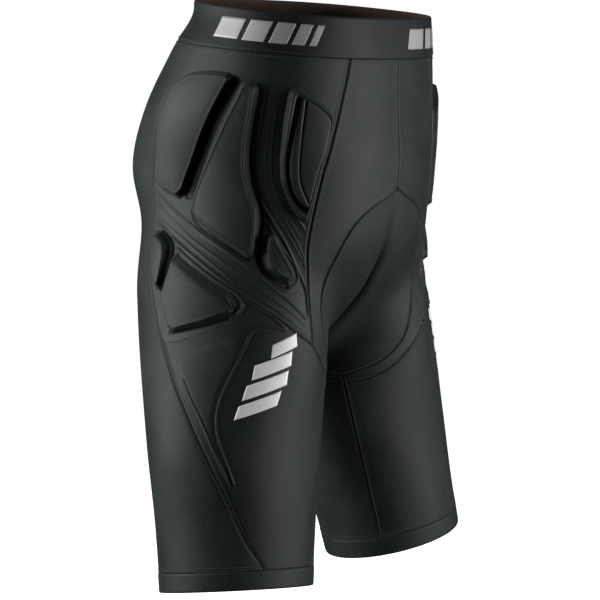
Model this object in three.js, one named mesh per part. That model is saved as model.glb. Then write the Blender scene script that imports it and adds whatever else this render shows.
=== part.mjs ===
// Padded impact shorts, in millimetres. +Z is up, the front faces -Y, the wearer's right is -X.
// The origin is the centre of the waist opening, level with the top of the waistband at the hips.
// Every piece is laid out on one smooth body surface. A place on it is a depth below the waist
// and a bearing round the hip and leg axis: 0 is the front, 90 the outer side, 180 the back.
import * as THREE from 'three';

// Body sizes by depth below the waist.
const TORSO_DEPTHS = [0, 40, 95, 150, 205, 260, 330];
const WAIST_HALF_WIDTH = 140;
const HIP_HALF_WIDTH = 160;
const TORSO_HALF_WIDTHS = [WAIST_HALF_WIDTH, 150, HIP_HALF_WIDTH, 156, 156, 166, 150];
const TORSO_FRONTS = [104, 105, 105, 106, 99, 82, 52];
const TORSO_BACKS = [77, 101, 131, 150, 134, 117, 100];
const TORSO_SQUARENESS = 2.35;
const SEAT_DEPTH = 200;
const SEAT_ROUNDING = 135;
const LEG_DEPTHS = [200, 300, 400, 480, 560];
const LEG_HALF_WIDTHS = [84, 86, 93, 81, 78];
const LEG_HALF_LENGTHS = [90, 90, 76, 71, 67];
const LEG_TOP_DEPTH = 270;
const LEG_TOP_ROUNDING = 110;
const BLEND_RADIUS = 8;
const TORSO_SCALE = 110;
const LEG_SCALE = 80;

// Stance of the legs and tilt of the openings, in degrees.
const HIP_DEPTH = 292;
const HIP_HALF_SPACING = 97;
const HIP_FORWARD_OFFSET = 17;
const WAIST_AXIS_HALF_SPACING = 55;
const LEG_SPREAD = 11;
const LEG_SWING = 8;
const WAIST_TILT = 6;
const WAIST_TILT_FADE = 110;
const HEM_OUTER_LIFT = 8;
const HEM_FRONT_LIFT = 8;

// Garment sizes.
const HEM_DEPTH = 535;
const WAISTBAND_HEIGHT = 38;
const HEM_HEIGHT = 18;
const FABRIC = 1.6;
const BAND_PROUD = 0.4;
const LINING = 1.2;
const GRIP_TAPE_HEIGHT = 12;
const PAD_HEIGHT = 8;
const PAD_CROWN = 1.5;
const PAD_COVER = 0.9;
const PAD_BEVEL = 5;
const CHAMOIS = 4;
const TAILBONE_FOAM = 6;
const PRINT = 0.4;

// Clearances between pieces that touch.
const SEAM_GAP = 0.45;
const LAYER_GAP = 0.4;
const FACET_GAP = 0.8;
const PAD_SEAT = 1;
const FOAM_GAP = 1.2;
const CHAMOIS_GAP = 3.4;
const POCKET_GAP = 1.7;

// Sewing lines, as [depth, bearing] from the waistband down.
const FRONT_SEAM = [[38, 8], [80, 10], [128, 13], [157, 15], [198, 16], [222, 15], [250, 10],
  [280, 6], [309, 3]];
const BACK_SEAM = [[38, 122], [80, 122], [112, 126], [145, 130], [175, 132], [205, 131], [235, 126],
  [265, 118], [300, 107], [335, 96], [372, 84], [408, 74], [445, 64], [488, 51], [535, 31]];
const DIAGONAL_SEAM = [[304, 95], [298, 82], [290, 68], [283, 55], [278, 44], [280, 32], [290, 20]];
const LOWER_DIAGONAL = [[325, -8], [342, -24], [353, -38], [359, -52]];
const GUSSET_FRONT = [[178, -29], [188, -19], [203, -11], [218, -8], [235, -6], [255, -5], [275, -6],
  [300, -11], [320, -19], [335, -31], [345, -44]];
const GUSSET_BACK = [[260, 219], [298, 223], [325, 233], [341, 250], [350, 272]];
const SIDE_SPLIT_DEPTH = 306;
const GUSSET_TOP_DEPTH = 170;
const GUSSET_BACK_TOP_DEPTH = 215;
const GUSSET_LOW_DEPTH = 354;
const INSEAM_TOP_DEPTH = 362;
const INSEAM_BEARING = -66;

// Pads of the right side: the outline of each, as [depth, bearing].
const PADS = {
  hip_pad_back: [[62, 105], [58, 90], [61, 76], [72, 74], [97, 79], [135, 90], [158, 98], [175, 107],
    [176, 120], [160, 128], [140, 127], [112, 121], [78, 113]],
  hip_pad_middle: [[66, 68], [69, 62], [96, 63], [129, 64], [157, 60], [188, 51], [211, 49], [224, 53],
    [208, 71], [192, 91], [181, 98], [167, 96], [125, 82], [85, 72]],
  hip_pad_low: [[205, 40], [222, 31], [240, 23], [250, 22], [252, 28], [238, 39], [224, 42], [212, 43]],
  hip_pad_front: [[67, 39], [68, 34], [86, 22], [98, 19], [128, 19], [164, 20], [182, 23], [178, 28],
    [157, 36], [128, 40], [89, 41]],
  thigh_pad_back: [[206, 128], [209, 120], [220, 114], [237, 113], [254, 114], [257, 117], [238, 123],
    [216, 129]],
  thigh_pad_side: [[228, 101], [249, 78], [268, 59], [276, 58], [285, 75], [294, 95], [291, 102],
    [270, 110], [246, 106]],
};
// The tailbone pad, as [distance from the middle plane, depth].
const TAILBONE_OUTLINE = [[-34, 112], [0, 106], [34, 112], [37, 135], [28, 172], [0, 196], [-28, 172],
  [-37, 135]];

// Printed marks and the care label: the corners of each, as [depth, bearing].
const EMBLEM = [[302, 44], [318, 17], [384, 26], [388, 58]];
const WAIST_MARK_SIDE = [[9, 92], [9, 27], [29, 31], [29, 96]];
const WAIST_MARK_FRONT_END = 26;
const WAIST_MARK_FRONT_MARGIN = 1.5;
const WAIST_MARK_COLUMNS = 12;
const WAIST_MARK_ROWS = 4;
const LABEL = [[44, 190], [44, 204], [78, 204], [78, 190]];

// Sampling of the faceted solids.
const UPPER_ROWS = 12;
const LOWER_ROWS = 7;
const SIDE_COLUMNS = 8;
const DIAGONAL_COLUMNS = 4;
const FRONT_COLUMNS = 4;
const BACK_COLUMNS = 12;
const CENTRE_FRONT_ROWS = 5;
const CENTRE_BACK_ROWS = 8;
const GUSSET_BACK_ROWS = 6;
const GUSSET_HALF_COLUMNS = 4;
const WAIST_HALF_COLUMNS = 18;
const HEM_COLUMNS = 24;
const PAD_POINTS = 16;

const RADIANS = Math.PI / 180;
const MM_PER_DEGREE = 2.1;
const RAY_LENGTH = 230;
const BISECTIONS = 34;

// A smooth curve through points, level at both ends and constant beyond them.
function profile(xs, ys) {
  const last = xs.length - 1;
  const inner = (i) => i > 0 && i < last;
  const slope = (i) => (inner(i) ? (ys[i + 1] - ys[i - 1]) / (xs[i + 1] - xs[i - 1]) : 0);
  return (x) => {
    if (x <= xs[0]) return ys[0];
    if (x >= xs[last]) return ys[last];
    const i = xs.findIndex((value) => value >= x) - 1;
    const step = xs[i + 1] - xs[i];
    const u = (x - xs[i]) / step;
    const rise = u * u * (3 - 2 * u);
    const bend = u * (1 - u) * step;
    return ys[i] + (ys[i + 1] - ys[i]) * rise + bend * ((1 - u) * slope(i) - u * slope(i + 1));
  };
}

const torsoHalfWidth = profile(TORSO_DEPTHS, TORSO_HALF_WIDTHS);
const torsoFront = profile(TORSO_DEPTHS, TORSO_FRONTS);
const torsoBack = profile(TORSO_DEPTHS, TORSO_BACKS);
const legHalfWidth = profile(LEG_DEPTHS, LEG_HALF_WIDTHS);
const legHalfLength = profile(LEG_DEPTHS, LEG_HALF_LENGTHS);
const frontSeam = profile(FRONT_SEAM.map((p) => p[0]), FRONT_SEAM.map((p) => p[1]));
const backSeam = profile(BACK_SEAM.map((p) => p[0]), BACK_SEAM.map((p) => p[1]));

// Centre of a leg at a depth, as distance from the middle plane and place along Y.
function legCentre(depth) {
  const below = depth - HIP_DEPTH;
  return [HIP_HALF_SPACING + below * Math.tan(LEG_SPREAD * RADIANS),
    HIP_FORWARD_OFFSET - below * Math.tan(LEG_SWING * RADIANS)];
}

// Less than zero inside the body, more outside, about one per millimetre near the skin.
function bodyValue(x, y, z) {
  const depth = -z;
  const front = torsoFront(depth);
  const back = torsoBack(depth);
  const across = Math.abs(x) / torsoHalfWidth(depth);
  const along = Math.abs(y - (back - front) / 2) / ((back + front) / 2);
  const under = Math.max(depth - SEAT_DEPTH, 0) / SEAT_ROUNDING;
  const power = TORSO_SQUARENESS;
  const torso = Math.pow(across ** power + along ** power + under ** power, 1 / power) - 1;
  const parts = [torso * TORSO_SCALE];
  const [legX, legY] = legCentre(depth);
  const over = Math.max(LEG_TOP_DEPTH - depth, 0) / LEG_TOP_ROUNDING;
  for (const side of [-1, 1]) {
    const legAcross = (side * x - legX) / legHalfWidth(depth);
    const legAlong = (y - legY) / legHalfLength(depth);
    parts.push((Math.hypot(legAcross, legAlong, over) - 1) * LEG_SCALE);
  }
  const least = Math.min(...parts);
  const sum = parts.reduce((total, value) => total + Math.exp((least - value) / BLEND_RADIUS), 0);
  return least - BLEND_RADIUS * Math.log(sum);
}

// Axis that the bearings turn about: inside the half torso, then down the middle of the leg.
function axisAt(depth) {
  if (depth > HIP_DEPTH) return legCentre(depth);
  const up = 1 - depth / HIP_DEPTH;
  const lean = WAIST_AXIS_HALF_SPACING - HIP_HALF_SPACING;
  return [HIP_HALF_SPACING + lean * up, HIP_FORWARD_OFFSET * (1 - up)];
}

// Height of the row at a depth, tilted with the waist near the top and with the hem near the bottom.
function rowHeight(depth, axis, outward, y) {
  const waist = Math.min(Math.max(1 - (depth - WAISTBAND_HEIGHT) / WAIST_TILT_FADE, 0), 1);
  const hem = Math.min(Math.max((depth - HIP_DEPTH) / (HEM_DEPTH - HIP_DEPTH), 0), 1);
  return -depth + y * Math.tan(WAIST_TILT * RADIANS) * waist
    + hem * (outward - axis[0]) * Math.tan(HEM_OUTER_LIFT * RADIANS)
    - hem * (y - axis[1]) * Math.tan(HEM_FRONT_LIFT * RADIANS);
}

// Halves an interval until it holds the edge between inside and outside.
function edgeOf(outside, near, far) {
  for (let i = 0; i < BISECTIONS; i += 1) {
    const middle = (near + far) / 2;
    if (outside(middle)) far = middle;
    else near = middle;
  }
  return near;
}

// The point of the wearer's right half at a depth and bearing.
function surfacePoint(depth, bearing) {
  const axis = axisAt(depth);
  const at = (r) => {
    const outward = axis[0] + r * Math.sin(bearing * RADIANS);
    const y = axis[1] - r * Math.cos(bearing * RADIANS);
    return new THREE.Vector3(-outward, y, rowHeight(depth, axis, outward, y));
  };
  const outside = (r) => at(r).x > 0 || bodyValue(...at(r).toArray()) > 0;
  return at(edgeOf(outside, 0, RAY_LENGTH));
}

// The point at a depth and a distance from the middle plane, on the front (-1) or the back (1).
function facePoint(depth, x, facing) {
  const axis = axisAt(depth);
  const at = (r) => new THREE.Vector3(x, facing * r, rowHeight(depth, axis, Math.abs(x), facing * r));
  return at(edgeOf((r) => bodyValue(...at(r).toArray()) > 0, 0, RAY_LENGTH));
}

// Bearing of the middle plane at a depth, on the front or the back.
function centreBearing(depth, facing) {
  const axis = axisAt(depth);
  const point = facePoint(depth, 0, facing);
  const bearing = Math.atan2(-axis[0], axis[1] - point.y) / RADIANS;
  return facing < 0 ? bearing : bearing + 360;
}

function outwardNormal(point) {
  const step = 0.5;
  const slope = (axis) => {
    const ahead = point.clone();
    const behind = point.clone();
    ahead[axis] += step;
    behind[axis] -= step;
    return bodyValue(...ahead.toArray()) - bodyValue(...behind.toArray());
  };
  return new THREE.Vector3(slope('x'), slope('y'), slope('z'));
}

function lifted(point, distance) {
  return point.clone().addScaledVector(outwardNormal(point).normalize(), distance);
}

// Moves a point along the surface normal until it lies on the surface.
function settled(point) {
  const moved = point.clone();
  for (let i = 0; i < 8; i += 1) {
    const normal = outwardNormal(moved);
    moved.addScaledVector(normal, -bodyValue(...moved.toArray()) / normal.lengthSq());
  }
  return moved;
}

// Geometry helpers: a closed body from points and faces, turned so that its faces point out.
function closedGeometry(points, faces) {
  let volume = 0;
  for (const [a, b, c] of faces) volume += points[a].clone().cross(points[b]).dot(points[c]);
  const turned = volume < 0 ? faces.map(([a, b, c]) => [a, c, b]) : faces;
  const geometry = new THREE.BufferGeometry();
  geometry.setAttribute('position', new THREE.Float32BufferAttribute(points.flatMap((p) => p.toArray()), 3));
  geometry.setIndex(turned.flat());
  geometry.computeVertexNormals();
  return geometry;
}

// A sheet of cloth between two distances from the surface, over a grid of surface points.
function sheetGeometry(grid, outer, inner, closedRound = false) {
  const rows = grid.length;
  const columns = grid[0].length;
  const points = [...grid.flat().map((p) => lifted(p, outer)), ...grid.flat().map((p) => lifted(p, inner))];
  const index = (layer, i, j) => layer * rows * columns + i * columns + (j % columns);
  const faces = [];
  const quad = (a, b, c, d) => faces.push([a, b, c], [a, c, d]);
  const spans = closedRound ? columns : columns - 1;
  for (let j = 0; j < spans; j += 1) {
    for (let i = 0; i < rows - 1; i += 1) {
      quad(index(0, i, j), index(0, i + 1, j), index(0, i + 1, j + 1), index(0, i, j + 1));
      quad(index(1, i, j), index(1, i, j + 1), index(1, i + 1, j + 1), index(1, i + 1, j));
    }
    quad(index(0, 0, j), index(0, 0, j + 1), index(1, 0, j + 1), index(1, 0, j));
    quad(index(0, rows - 1, j), index(1, rows - 1, j), index(1, rows - 1, j + 1), index(0, rows - 1, j + 1));
  }
  for (let i = 0; i < rows - 1 && !closedRound; i += 1) {
    const end = columns - 1;
    quad(index(0, i, 0), index(1, i, 0), index(1, i + 1, 0), index(0, i + 1, 0));
    quad(index(0, i, end), index(0, i + 1, end), index(1, i + 1, end), index(1, i, end));
  }
  return closedGeometry(points, faces);
}

// A closed body from a stack of equal rings, capped by a point at each end.
function ringGeometry(start, rings, end) {
  const size = rings[0].length;
  const points = [start, ...rings.flat(), end];
  const index = (ring, k) => 1 + ring * size + (k % size);
  const faces = [];
  for (let k = 0; k < size; k += 1) {
    faces.push([0, index(0, k + 1), index(0, k)]);
    faces.push([points.length - 1, index(rings.length - 1, k), index(rings.length - 1, k + 1)]);
    for (let ring = 0; ring < rings.length - 1; ring += 1) {
      faces.push([index(ring, k), index(ring, k + 1), index(ring + 1, k + 1)]);
      faces.push([index(ring, k), index(ring + 1, k + 1), index(ring + 1, k)]);
    }
  }
  return closedGeometry(points, faces);
}

// Sewing lines as equal numbers of points, so that the two panels at a seam share them.
function steps(count) {
  return Array.from({ length: count + 1 }, (_, i) => i / count);
}

function byDepth(from, to, count, bearing) {
  return steps(count).map((u) => from + (to - from) * u).map((depth) => [depth, bearing(depth)]);
}

function through(points, count) {
  const nodes = points.map(([depth, bearing]) => new THREE.Vector3(bearing * MM_PER_DEGREE, depth, 0));
  const line = new THREE.CatmullRomCurve3(nodes, false, 'centripetal');
  return line.getSpacedPoints(count).map((p) => [p.y, p.x / MM_PER_DEGREE]);
}

function straight(from, to, count) {
  return steps(count).map((u) => [from[0] + (to[0] - from[0]) * u, from[1] + (to[1] - from[1]) * u]);
}

function joined(...lines) {
  return lines.flatMap((line, i) => (i === 0 ? line : line.slice(1)));
}

function reversed(line) {
  return [...line].reverse();
}

const frontCentre = (depth) => centreBearing(depth, -1);
const backCentre = (depth) => centreBearing(depth, 1);
const hemTop = HEM_DEPTH - HEM_HEIGHT;
const seamJunction = FRONT_SEAM[FRONT_SEAM.length - 1];
const sideCorner = [SIDE_SPLIT_DEPTH, backSeam(SIDE_SPLIT_DEPTH)];
const inseamTop = [INSEAM_TOP_DEPTH, INSEAM_BEARING];
const gussetLow = [GUSSET_LOW_DEPTH, INSEAM_BEARING];
const gussetTop = [GUSSET_TOP_DEPTH, frontCentre(GUSSET_TOP_DEPTH)];
const gussetBackTop = [GUSSET_BACK_TOP_DEPTH, backCentre(GUSSET_BACK_TOP_DEPTH)];
const turned = ([depth, bearing]) => [depth, bearing + 360];
const gussetFrontRows = UPPER_ROWS + DIAGONAL_COLUMNS - CENTRE_FRONT_ROWS;
const backInseamRows = UPPER_ROWS + LOWER_ROWS - CENTRE_BACK_ROWS - GUSSET_BACK_ROWS;

const seams = {
  front: byDepth(WAISTBAND_HEIGHT, seamJunction[0], UPPER_ROWS, frontSeam),
  backUpper: byDepth(WAISTBAND_HEIGHT, SIDE_SPLIT_DEPTH, UPPER_ROWS, backSeam),
  backLower: byDepth(SIDE_SPLIT_DEPTH, hemTop, LOWER_ROWS, backSeam),
  diagonal: through([sideCorner, ...DIAGONAL_SEAM, seamJunction], SIDE_COLUMNS),
  lowerDiagonal: through([seamJunction, ...LOWER_DIAGONAL, inseamTop], DIAGONAL_COLUMNS),
  inseam: straight(inseamTop, [hemTop, INSEAM_BEARING], LOWER_ROWS),
  backInseam: straight(turned(gussetLow), turned([hemTop, INSEAM_BEARING]), backInseamRows),
  centreFront: byDepth(WAISTBAND_HEIGHT, GUSSET_TOP_DEPTH, CENTRE_FRONT_ROWS, frontCentre),
  centreBack: byDepth(WAISTBAND_HEIGHT, GUSSET_BACK_TOP_DEPTH, CENTRE_BACK_ROWS, backCentre),
  gussetFront: through([gussetTop, ...GUSSET_FRONT, gussetLow], gussetFrontRows),
  gussetBack: through([gussetBackTop, ...GUSSET_BACK, turned(gussetLow)], GUSSET_BACK_ROWS),
};

// Fills four sewing lines: top and bottom run the same way, left and right run down.
function patch(top, bottom, left, right) {
  const rows = left.length - 1;
  const columns = top.length - 1;
  const mix = (i, j, k) => {
    const u = j / columns;
    const v = i / rows;
    const corners = (1 - u) * (1 - v) * top[0][k] + u * (1 - v) * top[columns][k]
      + (1 - u) * v * bottom[0][k] + u * v * bottom[columns][k];
    return (1 - v) * top[j][k] + v * bottom[j][k] + (1 - u) * left[i][k] + u * right[i][k] - corners;
  };
  return left.map((_, i) => top.map((__, j) => [mix(i, j, 0), mix(i, j, 1)]));
}

// Draws the border of a grid in by half the seam gap, square to each sewing line.
function trimmed(grid) {
  const rows = grid.length - 1;
  const columns = grid[0].length - 1;
  const clamp = (index, last) => Math.min(Math.max(index, 0), last);
  const span = (i, j, di, dj) => grid[clamp(i + di, rows)][clamp(j + dj, columns)].clone()
    .sub(grid[clamp(i - di, rows)][clamp(j - dj, columns)]);
  const middle = [rows >> 1, columns >> 1];
  const across = span(...middle, 0, 1).cross(span(...middle, 1, 0));
  const hand = Math.sign(across.dot(outwardNormal(grid[middle[0]][middle[1]])));
  const inward = (index, last) => (index === 0 ? 1 : index === last ? -1 : 0);
  return grid.map((row, i) => row.map((point, j) => {
    const moved = point.clone();
    const normal = outwardNormal(point);
    const fromSide = span(i, j, 1, 0).cross(normal).normalize();
    const fromEnd = normal.cross(span(i, j, 0, 1)).normalize();
    moved.addScaledVector(fromSide, hand * inward(j, columns) * SEAM_GAP);
    return moved.addScaledVector(fromEnd, hand * inward(i, rows) * SEAM_GAP);
  }));
}

function placed(cells) {
  return cells.map((row) => row.map(([depth, bearing]) => surfacePoint(depth, bearing)));
}

const panels = {
  front_panel: patch(
    straight(seams.centreFront[0], seams.front[0], FRONT_COLUMNS),
    straight(gussetLow, inseamTop, FRONT_COLUMNS),
    joined(seams.centreFront, seams.gussetFront),
    joined(seams.front, seams.lowerDiagonal),
  ),
  side_panel: patch(
    straight(seams.front[0], seams.backUpper[0], SIDE_COLUMNS),
    reversed(seams.diagonal),
    seams.front,
    seams.backUpper,
  ),
  thigh_panel: patch(
    joined(reversed(seams.lowerDiagonal), reversed(seams.diagonal)),
    straight([hemTop, INSEAM_BEARING], [hemTop, backSeam(hemTop)], SIDE_COLUMNS + DIAGONAL_COLUMNS),
    seams.inseam,
    seams.backLower,
  ),
  back_panel: patch(
    straight(seams.backUpper[0], seams.centreBack[0], BACK_COLUMNS),
    straight([hemTop, backSeam(hemTop)], [hemTop, INSEAM_BEARING + 360], BACK_COLUMNS),
    joined(seams.backUpper, seams.backLower),
    joined(seams.centreBack, seams.gussetBack, seams.backInseam),
  ),
};

// Materials, one for each piece.
function cloth(color, roughness) {
  return new THREE.MeshStandardMaterial({ color, roughness, metalness: 0 });
}

const SHELL_FABRIC = [0x25292a, 0.62];
const PAD_FABRIC = [0x2b3031, 0.55];
const FOAM = [0x55585a, 0.9];
const ELASTIC = [0x1b1d1e, 0.7];
const BRUSHED_LINING = [0x2a2320, 0.95];
const MESH_LINING = [0x1c1e1f, 0.9];
const SILICONE = [0x34383a, 0.35];
const SILVER_PRINT = [0xe8eaec, 0.45];
const LABEL_SATIN = [0xd9dadb, 0.6];

const group = new THREE.Group();

function addPiece(name, geometry, finish) {
  const mesh = new THREE.Mesh(geometry, cloth(...finish));
  mesh.name = name;
  group.add(mesh);
}

// The mirror image, for the wearer's left half.
function mirrored(geometry) {
  const made = geometry.clone();
  made.applyMatrix4(new THREE.Matrix4().makeScale(-1, 1, 1));
  const order = Array.from(made.index.array);
  for (let i = 0; i < order.length; i += 3) [order[i], order[i + 1]] = [order[i + 1], order[i]];
  made.setIndex(order);
  return made;
}

function addPair(name, geometry, finish) {
  addPiece(`${name}_R`, geometry, finish);
  addPiece(`${name}_L`, mirrored(geometry), finish);
}

// Cut panels of the shell.
for (const [name, cells] of Object.entries(panels)) {
  addPair(name, sheetGeometry(trimmed(placed(cells)), 0, -FABRIC), SHELL_FABRIC);
}

// The gusset crosses the middle plane: each row runs from the right seam to the left.
const CROTCH_PIVOT = new THREE.Vector3(0, 25, -225);
const TIP_TRIM = 0.15;

function crotchLine(count) {
  const bearingOf = (point) => Math.atan2(point.z - CROTCH_PIVOT.z, point.y - CROTCH_PIVOT.y);
  const start = bearingOf(facePoint(GUSSET_TOP_DEPTH, 0, -1)) - 2 * Math.PI;
  const end = bearingOf(facePoint(GUSSET_BACK_TOP_DEPTH, 0, 1));
  return steps(count).map((u) => {
    const angle = start + (end - start) * u;
    const ray = new THREE.Vector3(0, Math.cos(angle), Math.sin(angle));
    const at = (r) => CROTCH_PIVOT.clone().addScaledVector(ray, r);
    return at(edgeOf((r) => bodyValue(...at(r).toArray()) > 0, 0, RAY_LENGTH));
  });
}

function shortened(line) {
  const last = line.length - 1;
  const kept = line.map((point) => point.clone());
  kept[0].lerp(line[1], TIP_TRIM);
  kept[last].lerp(line[last - 1], TIP_TRIM);
  return kept;
}

function mirroredRow(row) {
  const left = row.slice(0, -1).map((point) => new THREE.Vector3(-point.x, point.y, point.z));
  return [...row, ...left.reverse()];
}

function gussetGrid(width) {
  const border = joined(seams.gussetFront, reversed(seams.gussetBack));
  const edge = shortened(border.map(([depth, bearing]) => surfacePoint(depth, bearing)));
  const centre = shortened(crotchLine(border.length - 1));
  return edge.map((point, i) => mirroredRow(steps(GUSSET_HALF_COLUMNS).map((u) => {
    const place = centre[i].clone().lerp(point, (1 - u) * width);
    return u === 1 ? centre[i].clone() : settled(place);
  })));
}

addPiece('crotch_gusset', sheetGeometry(trimmed(gussetGrid(1)), 0, -FABRIC), SHELL_FABRIC);
const CHAMOIS_WIDTH = 0.8;
const CHAMOIS_END_ROWS = 2;
const chamoisTop = -FABRIC - CHAMOIS_GAP;
const chamoisGrid = gussetGrid(CHAMOIS_WIDTH).slice(CHAMOIS_END_ROWS, -CHAMOIS_END_ROWS);
addPiece('crotch_chamois', sheetGeometry(chamoisGrid, chamoisTop, chamoisTop - CHAMOIS), MESH_LINING);

// Bands round the waist.
function waistRow(depth) {
  const front = frontCentre(depth);
  const back = backCentre(depth);
  const half = steps(WAIST_HALF_COLUMNS).map((u) => surfacePoint(depth, front + (back - front) * u));
  half[0].x = 0;
  half[WAIST_HALF_COLUMNS].x = 0;
  const left = half.slice(1, -1).map((point) => new THREE.Vector3(-point.x, point.y, point.z));
  return [...half, ...left.reverse()];
}

const bandInner = BAND_PROUD - FABRIC;
const bandBottom = WAISTBAND_HEIGHT - SEAM_GAP;
const waistGrid = [waistRow(0), waistRow(bandBottom / 2), waistRow(bandBottom)];
addPiece('waistband', sheetGeometry(waistGrid, BAND_PROUD, bandInner, true), ELASTIC);
const facingOuter = bandInner - LAYER_GAP;
const facingInner = facingOuter - LINING;
addPiece('waistband_lining', sheetGeometry(waistGrid, facingOuter, facingInner, true), BRUSHED_LINING);

// Hem bands and the grip tapes inside them.
function hemRow(depth) {
  return steps(HEM_COLUMNS).slice(1).map((u) => surfacePoint(depth, 360 * u));
}

const hemGrid = [hemRow(hemTop + SEAM_GAP), hemRow(HEM_DEPTH)];
addPair('hem_band', sheetGeometry(hemGrid, BAND_PROUD, bandInner, true), SHELL_FABRIC);
const tapeEdge = (HEM_HEIGHT - GRIP_TAPE_HEIGHT) / 2;
const tapeGrid = [hemRow(hemTop + tapeEdge), hemRow(HEM_DEPTH - tapeEdge)];
addPair('grip_tape', sheetGeometry(tapeGrid, facingOuter, facingInner, true), SILICONE);

// A pad is a foam core under a moulded cover that is open towards the shell.
function outlineRing(outline, inset) {
  const nodes = outline.map(([u, v]) => new THREE.Vector3(u, v, 0));
  const line = new THREE.CatmullRomCurve3(nodes, true, 'centripetal');
  const ring = line.getSpacedPoints(PAD_POINTS).slice(0, -1);
  const next = (k) => ring[(k + 1) % ring.length];
  const area = ring.reduce((sum, p, k) => sum + p.x * next(k).y - p.y * next(k).x, 0);
  return ring.map((p, k) => {
    const before = ring[(k + ring.length - 1) % ring.length];
    const after = next(k);
    const along = after.clone().sub(before).normalize();
    const inward = new THREE.Vector3(-along.y, along.x, 0).multiplyScalar(Math.sign(area));
    return p.clone().addScaledVector(inward, inset);
  });
}

function shrunk(ring, middle, share) {
  return ring.map((p) => middle.clone().lerp(p, share));
}

// Each level of a pad: how far in from the outline, the share of the ring kept, and its height.
const SHOULDER_INSET = 0.55;
const SHOULDER_HEIGHT = 0.7;
const CROWN_SHARE = 0.92;

function padLevels(thickness, height) {
  const rise = height - thickness;
  return [
    { inset: thickness, share: 1, height: 0 },
    { inset: thickness + PAD_BEVEL * SHOULDER_INSET, share: 1, height: rise * SHOULDER_HEIGHT },
    { inset: thickness + PAD_BEVEL, share: CROWN_SHARE, height: rise },
  ];
}

function padRings(outline, place, levels, lift) {
  const bare = outlineRing(outline, 0);
  const middle = bare.reduce((sum, p) => sum.add(p), new THREE.Vector3()).divideScalar(bare.length);
  const at = (p, height) => lifted(place(p.x, p.y), lift(height));
  const rings = levels.map(({ inset, share, height }) => (
    shrunk(outlineRing(outline, inset), middle, share).map((p) => at(p, height))));
  return { rings, at, middle };
}

function coverGeometry(outline, place, lift, height) {
  const outer = padRings(outline, place, padLevels(0, height), lift);
  const inner = padRings(outline, place, padLevels(PAD_COVER, height), lift);
  const top = outer.at(outer.middle, height + PAD_CROWN);
  const under = inner.at(inner.middle, height + PAD_CROWN - PAD_COVER);
  return ringGeometry(under, [...reversed(inner.rings), ...outer.rings], top);
}

// The floor of a foam core is slightly hollow, because the skin below it is crowned.
const FLOOR_SHARES = [0.35, 0.7];
const FLOOR_RISE = 0.5;

function foamGeometry(outline, place, lift, height) {
  const inset = PAD_COVER + FOAM_GAP;
  const core = padRings(outline, place, padLevels(inset, height), lift);
  const base = outlineRing(outline, inset);
  const floor = FLOOR_SHARES.map((share) => {
    const ring = shrunk(base, core.middle, share);
    return ring.map((p) => core.at(p, FLOOR_RISE));
  });
  const top = core.at(core.middle, height + PAD_CROWN - inset);
  return ringGeometry(core.at(core.middle, FLOOR_RISE), [...floor, ...core.rings], top);
}

const onSide = (u, v) => surfacePoint(v, u / MM_PER_DEGREE);
const aboveShell = (height) => PAD_SEAT + height;
for (const [name, outline] of Object.entries(PADS)) {
  const flat = outline.map(([depth, bearing]) => [bearing * MM_PER_DEGREE, depth]);
  addPair(`${name}_cover`, coverGeometry(flat, onSide, aboveShell, PAD_HEIGHT), PAD_FABRIC);
  addPair(`${name}_foam`, foamGeometry(flat, onSide, aboveShell, PAD_HEIGHT), FOAM);
}

// The tailbone pad sits inside the back, in a pocket that opens towards the shell.
const onBack = (u, v) => facePoint(v, u, 1);
const behindShell = (height) => -FABRIC - POCKET_GAP - height;
const pocketGeometry = coverGeometry(TAILBONE_OUTLINE, onBack, behindShell, TAILBONE_FOAM);
addPiece('tailbone_pocket', pocketGeometry, MESH_LINING);
addPiece('tailbone_foam', foamGeometry(TAILBONE_OUTLINE, onBack, behindShell, TAILBONE_FOAM), FOAM);

// Lining behind the padded side panels.
const LINER_MARGIN = 1;
const linerOuter = -FABRIC - FACET_GAP;
const linerCells = panels.side_panel.slice(LINER_MARGIN, -LINER_MARGIN).map((row) => row.slice(1, -1));
addPair('side_liner', sheetGeometry(placed(linerCells), linerOuter, linerOuter - LINING / 2), MESH_LINING);

// Printed marks on the thighs and the waistband, and a blank care label inside the back.
function film(corners, columns, rows) {
  const [a, b, c, d] = corners;
  const ends = [straight(a, b, columns), straight(d, c, columns)];
  return placed(patch(...ends, straight(a, d, rows), straight(b, c, rows)));
}

const emblemGrid = film(EMBLEM, 6, 5);
addPair('thigh_emblem', sheetGeometry(emblemGrid, FACET_GAP + PRINT, FACET_GAP), SILVER_PRINT);
const markInner = BAND_PROUD + PAD_SEAT;
function waistMark(corners) {
  const grid = film(corners, WAIST_MARK_COLUMNS, WAIST_MARK_ROWS);
  return sheetGeometry(grid, markInner + PRINT, markInner);
}

addPiece('waist_mark_side_R', waistMark(WAIST_MARK_SIDE), SILVER_PRINT);
const [markTop, , markBottom] = WAIST_MARK_SIDE.map(([depth]) => depth);
const frontMark = [
  [markTop, frontCentre(markTop) + WAIST_MARK_FRONT_MARGIN],
  [markTop, WAIST_MARK_FRONT_END],
  [markBottom, WAIST_MARK_FRONT_END],
  [markBottom, frontCentre(markBottom) + WAIST_MARK_FRONT_MARGIN],
];
addPiece('waist_mark_front_L', mirrored(waistMark(frontMark)), SILVER_PRINT);
const labelGrid = film(LABEL, 2, 2);
const labelOuter = -FABRIC - 2 * FACET_GAP;
addPiece('care_label', sheetGeometry(labelGrid, labelOuter, labelOuter - PRINT), LABEL_SATIN);

export default group;
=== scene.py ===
"""Padded impact shorts: the looks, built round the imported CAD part.

Garment places are [depth, bearing]: millimetres below the waist, and degrees round the hip and leg axis of
the wearer's right half, with 0 at the front, 90 at the outer side and 180 at the back. Work on the form is
in millimetres, and meshes are written in metres. The left half is the mirror image of the right.
"""
import math

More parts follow.
